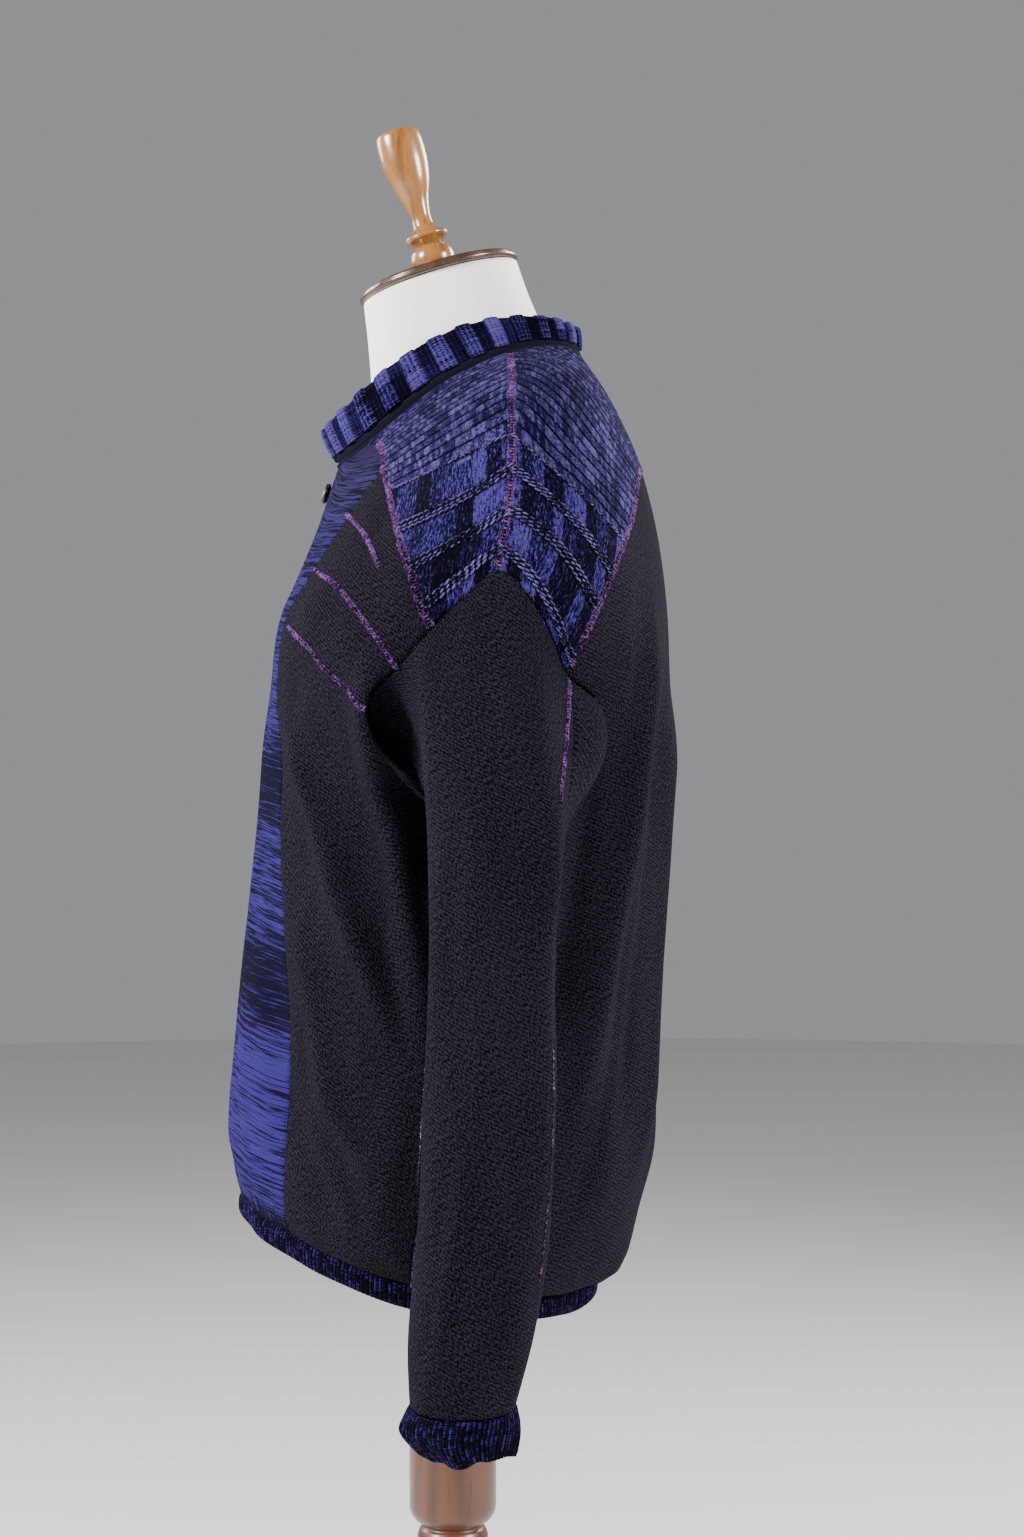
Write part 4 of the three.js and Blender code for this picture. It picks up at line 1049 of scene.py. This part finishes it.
def hemPiece():
    angles = np.linspace(-134, 226, 2001)[:-1]
    length, angle = ribColumns(bodyPoint(angles, 0), angles, 226)
    foot = bodyPoint(angle, 0)
    out = unit(np.stack([foot[:, 0], foot[:, 1] - hem["middleY"], 0 * foot[:, 0]], -1))
    clear = (cloth["wall"] / 2 + hem["clear"]) * np.abs(bodyNormal(angle, 0)[:, 2]) - hem["tuck"]
    share = np.linspace(0, 1, ribs["hemRows"])
    down = np.interp(share, np.linspace(0, 1, len(hemRows)), hemRows[:, 0])
    bulge = np.interp(share, hemRows[:, 0], hemRows[:, 1])
    points = foot[None] + out[None] * bulge[:, None, None]
    points[..., 2] -= clear[None] + (down * hem["height"])[:, None]
    wave = share[:, None] * (0.9 * np.sin(angle * degree * 11) + 0.7 * np.sin(angle * degree * 17 + 1))[None]
    points[..., 2] += wave * 0.8
    points = points + out[None] * wave[..., None]
    thin = (1 - 0.5 * fade((share - 0.9) / 0.1))[:, None]
    ribBand("hem_rib_knit", "hem_rib", points, out[None], thin, fade(share / 0.15)[:, None],
            share * hem["height"], length, "front_panel", sideOf["left"])


for hand in hands:
    cuffPiece(hand)
hemPiece()
print("cuffs and hem ready")

# Stand collar with bold ribs over a navy binding
collar = {"top": [-98, 1381, 71, -2, 1446, 93, 1459, 2, 2, 3], "opening": 4.6, "ribs": 28, "perRib": 18,
          "rise": 2.3, "bow": 1.2, "binding": 0.18, "bindingGap": 0.011, "foot": 0.62, "rows": 22,
          "bindingWall": 3.4, "bindingOuter": 2.04, "pitch": 12.2, "height": 35,
          "lip": [(3.4, 1.25, 0.35), (1.9, 1.9, 0.6)],  # away from the edge, above the surface, half wall
          "lipShares": (-0.08, -0.045)}
collarTop = np.array([collar["top"], collar["top"]], float)


def collarPoint(angle, share):
    angle, share = np.broadcast_arrays(np.asarray(angle, float), np.asarray(share, float))
    foot = bodyPoint(angle, np.full_like(angle, neckline))
    rise = ringPoint(collarTop, angle, 0) - foot
    length = np.linalg.norm(rise, axis=-1)
    facing = np.abs((bodyNormal(angle, np.full_like(angle, neckline)) * unit(rise)).sum(-1))
    clear = (cloth["gap"] + cloth["wall"] * collar["foot"] * facing) / length
    out = unit(foot * [1, 1, 0])
    return (foot + rise * (clear + (1 - clear) * share)[..., None]
            + out * (collar["bow"] * np.sin(math.pi * share))[..., None])


def collarNormal(angle, share):
    return surfaceNormal(collarPoint, angle, np.clip(share, 0.03, 0.97), 1.0, 0.02)


def collarSpan(count):
    return np.linspace(-90 + collar["opening"], 270 - collar["opening"], count + 1)


def ribbedCollar():
    columns = collar["ribs"] * collar["perRib"]
    angle = collarSpan(columns)
    phase = (np.arange(columns + 1) / collar["perRib"]) % 1
    crown = fade((phase - 0.03) / 0.1) * (1 - fade((phase - 0.53) / 0.1))
    wales = np.abs(np.sin((phase - 0.04) / 0.54 * 4 * math.pi)) * 0.4 * crown \
        + np.abs(np.sin((phase - 0.6) / 0.4 * fullTurn)) * 0.2 * (1 - crown)
    share = np.linspace(collar["binding"] + collar["bindingGap"], 1, collar["rows"])
    grid = np.meshgrid(angle, share)
    jut = (0.035 * crown + 0.012 * np.sin(angle * degree * 23))[None] * fade((share - 0.75) / 0.25)[:, None]
    points, normals = collarPoint(grid[0], grid[1] + jut), collarNormal(*grid)
    lean = 0.5 * np.sin(angle * degree * 9)[None] * fade((share - 0.5) / 0.5)[:, None]
    top = (1 - 0.6 * fade((share - 0.93) / 0.07))[:, None]
    edge = np.minimum(np.arange(columns + 1), columns - np.arange(columns + 1))
    side = 0.4 + 0.6 * fade(edge / 6)
    half = cloth["collarWall"] / 2
    courses = 0.12 * np.sin(share * 34 / 1.8 * fullTurn)[:, None]
    lift = half * top * side + (collar["rise"] * crown + wales)[None] * top * side + courses * crown[None] + lean
    outer = points + normals * lift[..., None]
    inner = points - normals * (half * top - lean * 0.6)[..., None]
    u = np.arange(columns + 1) / collar["perRib"] * collar["pitch"]
    uv = np.stack(np.meshgrid(u, share * collar["height"]), -1) * mm
    obj = shellMesh("collar_rib", outer, inner, uv)
    facts = {"flat": (0.53, 0.035), "area": round(midArea(points), 4), "on": ["collar_binding"]}
    facts["flat"] = flatSize(facts)
    dress(obj, "collar", "collar", facts)


def collarBinding():
    columns = 220
    angle = collarSpan(columns)
    share = np.linspace(0, collar["binding"], 9)
    grid = np.meshgrid(angle, share)
    points, normals = collarPoint(*grid), collarNormal(*grid)
    across = np.linspace(-1, 1, 9)[:, None]
    rounded = np.sqrt(np.clip(1 - (across * 0.94) ** 2, 0, 1))
    edge = np.minimum(np.arange(columns + 1), columns - np.arange(columns + 1))
    end = (0.45 + 0.55 * fade(edge / 4))[None]
    ripple = 0.12 * np.sin(angle * degree * 40)[None] * rounded
    outer = points + normals * ((collar["bindingOuter"] * (0.45 + 0.55 * rounded) + ripple) * end)[..., None]
    under = collar["bindingWall"] - collar["bindingOuter"]
    inner = points - normals * (under * (0.6 + 0.4 * rounded) * end)[..., None]
    edgePoint, edgeNormal = bodyPoint(angle, neckline), bodyNormal(angle, neckline)
    down = unit(bodyPoint(angle, neckline - 0.12) - edgePoint)
    lip = [(edgePoint + down * away + edgeNormal * raised, half) for away, raised, half in collar["lip"]]
    points = np.concatenate([[place for place, half in lip], points])
    outer = np.concatenate([[place + edgeNormal * half for place, half in lip], outer])
    inner = np.concatenate([[place - edgeNormal * half for place, half in lip], inner])
    share = np.r_[collar["lipShares"], share]
    uv = np.stack(np.meshgrid(np.linspace(0, 510, columns + 1), share * collar["height"]), -1) * mm
    obj = shellMesh("collar_binding_tape", outer, inner, uv)
    facts = {"flat": (0.54, 0.0105), "area": round(midArea(points), 4), "on": ["front_panel", "back_yoke"]}
    dress(obj, "binding", "collar_binding", facts)


ribbedCollar()
collarBinding()
print("collar ready")

# Stitches, set along seams by Geometry Nodes
def strand(points, radius, sides):
    points = np.asarray(points, float)
    direction = unit(np.gradient(points, axis=0))
    sideways = unit(np.cross(direction, [0, 0.01, 1.0]))
    over = np.cross(sideways, direction)
    turn = np.linspace(0, fullTurn, sides + 1)[:-1]
    grow = np.full(len(points), radius)
    grow[[0, -1]] *= 0.55
    rings = points[:, None] + grow[:, None, None] * (np.cos(turn)[None, :, None] * sideways[:, None]
                                                     + np.sin(turn)[None, :, None] * over[:, None])
    faces = [[i * sides + j, i * sides + (j + 1) % sides, (i + 1) * sides + (j + 1) % sides, (i + 1) * sides + j]
             for i in range(len(points) - 1) for j in range(sides)]
    return rings.reshape(-1, 3), faces


def strands(paths, sides):  # several strands as one list of points and faces
    points, faces = [], []
    for path, radius in paths:
        got, quads = strand(path, radius, sides)
        faces += [[k + sum(len(p) for p in points) for k in q] for q in quads]
        points.append(got)
    return np.concatenate(points), faces


def stitchUnit(name, paths):
    points, faces = strands(paths, 4)
    return plainMesh(name, points * mm, faces)


def stitchTree():
    tree = bpy.data.node_groups.new("stitchesAlongSeam", "GeometryNodeTree")
    sockets = {}
    tree.interface.new_socket("Geometry", in_out="INPUT", socket_type="NodeSocketGeometry")
    for title, kind in (("Stitch", "NodeSocketObject"), ("Pitch", "NodeSocketFloat"), ("Width", "NodeSocketFloat"),
                        ("Uneven", "NodeSocketFloat"), ("Seed", "NodeSocketInt"), ("Thread", "NodeSocketMaterial")):
        sockets[title] = tree.interface.new_socket(title, in_out="INPUT", socket_type=kind).identifier
    tree.interface.new_socket("Geometry", in_out="OUTPUT", socket_type="NodeSocketGeometry")
    given = tree.nodes.new("NodeGroupInput")
    result = tree.nodes.new("NodeGroupOutput")
    curve = tree.nodes.new("GeometryNodeMeshToCurve")
    even = tree.nodes.new("GeometryNodeResampleCurve")
    even.mode = "LENGTH"
    tangent = tree.nodes.new("GeometryNodeInputTangent")
    normal = tree.nodes.new("GeometryNodeInputNamedAttribute")
    normal.data_type = "FLOAT_VECTOR"
    normal.inputs["Name"].default_value = "surfaceNormal"
    turn = tree.nodes.new("FunctionNodeAxesToRotation")
    turn.primary_axis = "Z"
    turn.secondary_axis = "X"
    unitInfo = tree.nodes.new("GeometryNodeObjectInfo")
    jitter = tree.nodes.new("FunctionNodeRandomValue")
    jitter.data_type = "FLOAT"
    low = tree.nodes.new("ShaderNodeMath")
    low.operation = "SUBTRACT"
    low.inputs[0].default_value = 1.0
    high = tree.nodes.new("ShaderNodeMath")
    high.inputs[0].default_value = 1.0
    scale = tree.nodes.new("ShaderNodeCombineXYZ")
    across = tree.nodes.new("ShaderNodeMath")
    across.operation = "MULTIPLY"
    place = tree.nodes.new("GeometryNodeInstanceOnPoints")
    real = tree.nodes.new("GeometryNodeRealizeInstances")
    coat = tree.nodes.new("GeometryNodeSetMaterial")
    for start, end in (
            (given.outputs["Geometry"], curve.inputs[0]),
            (curve.outputs[0], even.inputs["Curve"]),
            (given.outputs["Pitch"], even.inputs["Length"]),
            (even.outputs[0], place.inputs["Points"]),
            (given.outputs["Stitch"], unitInfo.inputs["Object"]),
            (unitInfo.outputs["Geometry"], place.inputs["Instance"]),
            (normal.outputs[0], turn.inputs[0]),
            (tangent.outputs[0], turn.inputs[1]),
            (turn.outputs[0], place.inputs["Rotation"]),
            (given.outputs["Uneven"], low.inputs[1]),
            (given.outputs["Uneven"], high.inputs[1]),
            (low.outputs[0], jitter.inputs[2]),
            (high.outputs[0], jitter.inputs[3]),
            (given.outputs["Seed"], jitter.inputs["Seed"]),
            (jitter.outputs[1], across.inputs[0]),
            (given.outputs["Width"], across.inputs[1]),
            (jitter.outputs[1], scale.inputs[0]),
            (across.outputs[0], scale.inputs[1]),
            (jitter.outputs[1], scale.inputs[2]),
            (scale.outputs[0], place.inputs["Scale"]),
            (place.outputs[0], real.inputs[0]),
            (real.outputs[0], coat.inputs["Geometry"]),
            (given.outputs["Thread"], coat.inputs["Material"]),
            (coat.outputs[0], result.inputs[0])):
        tree.links.new(start, end)
    return tree, sockets


seamTree, seamSockets = stitchTree()


def stitches(name, runs, unitObject, pitch, width, uneven, seed, material):
    points, normals, edges = [], [], []
    for run, out in runs:
        start = sum(len(p) for p in points)
        edges += [(start + k, start + k + 1) for k in range(len(run) - 1)]
        points.append(run)
        normals.append(out)
    mesh = bpy.data.meshes.new(name)
    mesh.from_pydata((np.concatenate(points) * mm).tolist(), edges, [])
    attribute = mesh.attributes.new("surfaceNormal", "FLOAT_VECTOR", "POINT")
    attribute.data.foreach_set("vector", np.concatenate(normals).astype(np.float32).ravel())
    path = addObject(name + "Path", mesh)
    modifier = path.modifiers.new("stitches", "NODES")
    modifier.node_group = seamTree
    for title, value in (("Stitch", unitObject), ("Pitch", pitch * mm), ("Width", width), ("Uneven", uneven),
                         ("Seed", seed), ("Thread", materials[material])):
        modifier[seamSockets[title]] = value
    graph = bpy.context.evaluated_depsgraph_get()
    made = bpy.data.meshes.new_from_object(path.evaluated_get(graph), depsgraph=graph)
    made.name = name
    obj = addObject(name, made)
    bpy.data.objects.remove(path)
    made.polygons.foreach_set("use_smooth", [True] * len(made.polygons))
    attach(obj, "root")
    print(name, "triangles", sum(len(p.vertices) - 2 for p in made.polygons))


def runOn(places, lift):
    normal = bodyNormal(places[:, 0], places[:, 1])
    return bodyPoint(places[:, 0], places[:, 1]) + normal * lift, normal


def bodyRun(seam, lift, start=0.0, end=1.0, count=160, hand="left"):
    places = seam(np.linspace(start, end, count))
    if hand == "right":
        places = mirrored(places)
    return runOn(places, lift)


def sleeveRun(columns, top, foot, lift, hand, count=120):
    drops = np.linspace(top, foot, count)
    columns = np.linspace(*columns, count)
    points, normals = sleevePoint(columns, drops), sleeveNormal(columns, drops)
    return (points + normals * lift) * sideOf[hand], normals * sideOf[hand]


# Flatlock: two crossing strands and a loop along each edge, six millimetres across
flatlock = {"pitch": 2.3, "width": 6.0, "thread": 0.46, "uneven": 0.16}
flatHalf = flatlock["width"] / 2
flatUnit = stitchUnit("flatlockUnit", [
    ([(-1.1, -flatHalf, 0), (-0.4, -1.0, 0.75), (0.4, 1.0, 0.75), (1.1, flatHalf, 0)], flatlock["thread"]),
    ([(1.1, -flatHalf, 0), (0.4, -1.0, 0.5), (-0.4, 1.0, 0.5), (-1.1, flatHalf, 0)], flatlock["thread"]),
    ([(-1.3, -flatHalf, 0), (0, -flatHalf + 0.5, 0.7), (1.3, -flatHalf, 0)], flatlock["thread"]),
    ([(-1.3, flatHalf, 0), (0, flatHalf - 0.5, 0.7), (1.3, flatHalf, 0)], flatlock["thread"])])
chain = {"pitch": 5.0, "thread": 0.72}
chainUnit = stitchUnit("chainUnit", [
    ([(-2.7, -0.7, -0.1), (-0.9, -0.35, 0.5), (0.9, 0.35, 0.5), (2.7, 0.7, -0.1)], chain["thread"])])

stripes = [  # three short lines of stitching on each side panel, as angle and level
    [[-58.4, 11.82], [-45, 11.0], [-31.9, 10.15]],
    [[-60.3, 10.25], [-42, 9.72], [-24.9, 8.98], [-16.1, 8.44]],
    [[-62.2, 8.89], [-48, 8.62], [-36.6, 8.28], [-22.4, 7.9]]]


def seamStitches():
    yokeRuns = []
    lift = cloth["wall"] / 2 - 0.15
    for hand in hands:
        yokeRuns.append(bodyRun(yokeFront, lift, 0, 0.99, hand=hand))
        yokeRuns.append(bodyRun(yokeNeck, lift, 0.4, 1, 60, hand))
        yokeRuns.append(bodyRun(shoulder, lift, 0.04, 0.985, hand=hand))
    yokeRuns.append(bodyRun(yokeBack, lift, 0.01, 0.99, 420))
    stitches("yoke_stitches", yokeRuns, flatUnit, flatlock["pitch"], 1.0, flatlock["uneven"], 3,
             "pinkThread")
    stripeRuns = [bodyRun(seamOf(rows), lift + 0.1, hand=hand) for rows in stripes for hand in hands]
    stitches("stripe_stitches", stripeRuns, flatUnit, 2.2, 0.58, 0.22, 5, "pinkThread")
    frontRuns = [sleeveRun((17.3, 17.7), 0.06, 3.6, lift, hand, 240) for hand in hands]
    stitches("sleeve_front_stitches", frontRuns, flatUnit, 2.2, 0.26, 0.2, 9, "plumThread")
    backRuns = [sleeveRun((4.9, 3.6), 0.04, 0.72, lift, hand) for hand in hands]
    stitches("sleeve_back_stitches", backRuns, flatUnit, 2.2, 0.7, 0.2, 10, "pinkThread")
    lowRuns = [sleeveRun((3.6, 3.7), 2.6, 4.9, lift, hand, 160) for hand in hands]
    stitches("sleeve_low_stitches", lowRuns, flatUnit, 2.2, 0.22, 0.2, 12, "plumThread")
    sideRuns = [bodyRun(sideSeam, lift, 0.0, 0.97, hand=hand) for hand in hands]
    stitches("side_stitches", sideRuns, flatUnit, 2.3, 0.3, 0.15, 11, "blueThread")


seamStitches()


# Chain lines: one where the blocks begin and three on each welt of the shoulders
def weltRuns():
    runs = []
    lines = [blocks["split"]] + [place + side for place in blocks["welts"] for side in (-2.7, 0.1, 2.7)]
    for place in lines:
        run = np.linspace(0.02, 0.98, 60)
        share = np.array([place / shoulder.length])
        front = patch(ringRun(22, -50, neckline), frontTop.back(), shoulder, frontEnds, run, share)[0]
        share = np.array([(place + backNeck.length) / backStart.length])
        back = patch(centreBack, backTop, backStart, backEnds, run, share)[0]
        for hand in hands:
            for places in (front, back):
                moved = places if hand == "left" else mirrored(places)
                runs.append(runOn(moved, cloth["wall"] / 2 + yokeRelief["welt"] * 0.8))
    return runs


stitches("welt_chains", weltRuns(), chainUnit, chain["pitch"], 1.0, 0.1, 13, "blueThread")
for helper in (flatUnit, chainUnit):
    bpy.data.objects.remove(helper)
print("stitches ready")


# Dress form, its cap, finial, pole and base
def tubeFaces(rows, facets):  # rings of quads, with a fan to a point at each end
    after = [(j + 1) % facets for j in range(facets)]
    quads = [[i * facets + j, i * facets + after[j], (i + 1) * facets + after[j], (i + 1) * facets + j]
             for i in range(rows - 1) for j in range(facets)]
    low = [[rows * facets, after[j], j] for j in range(facets)]
    top = [[rows * facets + 1, (rows - 1) * facets + j, (rows - 1) * facets + after[j]] for j in range(facets)]
    return quads + low + top


def formPiece():
    rows, facets = 110, 96
    level = np.linspace(0, len(formLevels) - 1, rows)
    angle = np.linspace(0, 360, facets + 1)[:-1]
    points = ringPoint(formLevels, np.where(angle > 180, angle - 360, angle)[None], level[:, None])
    grid = np.concatenate([points[:1] * [0.97, 0.97, 1], points])  # the cover turns in under the body
    ends = [points[0].mean(0), points[-1].mean(0)]
    mesh = bpy.data.meshes.new("form_torso_cover")
    mesh.from_pydata((np.r_[grid.reshape(-1, 3), ends] * mm).tolist(), [], tubeFaces(len(grid), facets))
    mesh.polygons.foreach_set("use_smooth", [len(p.vertices) == 4 for p in mesh.polygons])
    obj = addObject("form_torso_cover", mesh)
    claim(obj, "form", "form_torso")


def turnedPiece(name, node, profile, material, tilt=0.0, foot=(0, 0, 0), facets=72):
    outline = np.asarray(profile, float)
    turn = np.linspace(0, fullTurn, facets + 1)[:-1]
    radius, height = outline[1:-1, 0, None], outline[1:-1, 1, None]
    rings = np.stack([radius * np.cos(turn), radius * np.sin(turn), height + 0 * turn], -1)
    points = np.r_[rings.reshape(-1, 3), [[0, 0, outline[0, 1]]], [[0, 0, outline[-1, 1]]]]
    points = points @ np.array(Matrix.Rotation(tilt, 3, "X")).T + np.asarray(foot, float)
    mesh = bpy.data.meshes.new(name)
    mesh.from_pydata((points * mm).tolist(), [], tubeFaces(len(outline) - 2, facets))
    mesh.polygons.foreach_set("use_smooth", [True] * len(mesh.polygons))
    mesh.set_sharp_from_angle(angle=38 * degree)
    claim(addObject(name, mesh), material, node)


def smoothProfile(corners, count=6):  # a curve through the turned corners
    rows = np.asarray(corners, float)
    t = np.linspace(0, len(rows) - 1, (len(rows) - 1) * count + 1)
    curve = catmull(rows, t)
    return np.maximum(curve, [0, -1e9])


finial = {"waist": [[12, 0], [15, 4], [16.8, 11], [15.2, 18], [10, 22]], "flange": [[12.8, 24.5], [16, 27],
          [16, 30], [10.5, 33]], "cup": [[8, 37], [7.6, 45], [9.8, 57], [14.6, 71], [17.4, 86], [17.8, 99],
          [17, 107.5], [15.6, 110.5]]}
stand = {"pole": 33.0, "lowerPole": 19.0, "poleTop": 799.6, "baseRadius": 190.0, "baseHeight": 30.0}


def standPieces():
    neckTop = (ringPoint(formLevels, -90, 16) + ringPoint(formLevels, 90, 16)) / 2
    axis = np.array([0, -math.sin(capLean), math.cos(capLean)])
    capFoot = neckTop + axis * cloth["gap"]
    cap = [[0, 0], [57.5, 0], [60.2, 0.5], [61.6, 1.4], [62.4, 2.6], [62.4, 3.8], [61.9, 4.6], [60.9, 4.9],
           [60.9, 5.3], [60.2, 6.5], [58.4, 7.5], [54, 8], [18, 8], [0, 8]]
    turnedPiece("neck_cap_wood", "neck_cap", cap, "darkWood", capLean, capFoot, 112)
    foot = capFoot + axis * (8 + cloth["gap"])
    outline = np.concatenate([[[0, 0]], smoothProfile(finial["waist"]), smoothProfile(finial["flange"]),
                              smoothProfile(finial["cup"]), [[13, 111.0], [0, 111.0]]])
    turnedPiece("finial_wood", "finial", outline, "honeyWood", capLean, foot, 64)
    low = stand["baseHeight"] + cloth["gap"]
    thin, thick = stand["lowerPole"], stand["pole"]
    collarRing = smoothProfile([[thin, 534], [25, 538], [27, 543], [25, 549], [23, 552], [28, 556]])
    pole = np.concatenate([[[0, low], [thin, low]], collarRing, [[30.5, 559], [32.4, 563], [thick, 567],
                           [thick, 798.4], [32.2, stand["poleTop"]], [0, stand["poleTop"]]]])
    turnedPiece("pole_wood_turned", "pole", pole, "poleWood", facets=80)
    wide, high = stand["baseRadius"], stand["baseHeight"]
    base = np.array([[0, 0], [wide - 4, 0], [wide - 1.2, 1.2], [wide, 4], [wide, 14], [wide - 1.2, 17.5],
                     [wide - 5, 21.4], [wide - 9, 22.4], [120, 26], [61, high - 0.6], [58, high], [0, high]])
    turnedPiece("stand_base_wood", "stand_base", base, "baseWood", facets=128)


button = {"level": 13.35, "seat": 0.3, "thread": 0.4}


def buttonPiece():
    out = bodyNormal(-90, button["level"])
    foot = bodyPoint(-90, button["level"]) + out * (cloth["wall"] / 2 + button["seat"])
    tilt = math.atan2(-out[1], out[2])
    profile = [[0, 0], [5.6, 0], [6.9, 0.4], [7.7, 1.2], [8, 2.1], [7.8, 3.1], [7.1, 3.8], [6.3, 4.0], [5.6, 3.7],
               [4.9, 3.3], [4.2, 3.1], [0, 3.1]]
    turnedPiece("neck_button_horn", "neck_button", profile, "horn", tilt, foot, 48)
    points, faces = strands([
        ([(side, -1.4, 3.0), (side, -0.7, 3.55), (side, 0.7, 3.55), (side, 1.4, 3.0)], button["thread"])
        for side in (-1.25, 1.25)], 6)
    placed = points @ np.array(Matrix.Rotation(tilt, 3, "X")).T + foot
    obj = plainMesh("neck_button_thread", placed * mm, faces)
    obj.data.materials.append(materials["plumThread"])
    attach(obj, "root")


formPiece()
standPieces()
buttonPiece()
print("form, stand and button ready")


# Floor, sky and soft studio lights
studio = {"floor": 9.0, "floorColour": (0.72, 0.71, 0.7), "sky": (0.84, 0.85, 0.88), "skyStrength": 0.36,
          "key": {"place": (1.5, -2.9, 2.4), "size": 1.1, "power": 320, "aim": (0, 0, 1.15)},
          "fill": {"place": (1.4, 3.0, 2.3), "size": 1.2, "power": 235, "aim": (0, 0, 1.1)},
          "rim": {"place": (-2.0, 2.2, 2.6), "size": 1.4, "power": 120, "aim": (0, 0, 1.2)},
          "front": {"place": (-1.6, -2.6, 2.2), "size": 1.6, "power": 90, "aim": (0, 0, 1.1)}}


def areaLight(name, facts):
    data = bpy.data.lights.new(name, "AREA")
    data.shape = "DISK"
    data.size = facts["size"]
    data.energy = facts["power"]
    obj = addObject(name, data)
    obj.location = facts["place"]
    obj.rotation_euler = (Vector(facts["aim"]) - Vector(facts["place"])).to_track_quat("-Z", "Y").to_euler()


def makeStudio():
    turn = np.linspace(0, fullTurn, 97)[:-1]
    ring = np.stack([np.cos(turn), np.sin(turn), 0 * turn], -1) * studio["floor"]
    floor = plainMesh("floor", ring, [list(range(96))], smooth=False)
    floor.data.materials.append(paint("floor_paint", studio["floorColour"], 0.75))
    for name in ("key", "fill", "rim", "front"):
        areaLight(name, studio[name])
    world = bpy.data.worlds.new("studio")
    world.use_nodes = True
    back = world.node_tree.nodes["Background"]
    back.inputs[0].default_value = (*studio["sky"], 1)
    back.inputs[1].default_value = studio["skyStrength"]
    bpy.context.scene.world = world


makeStudio()
print("studio ready")
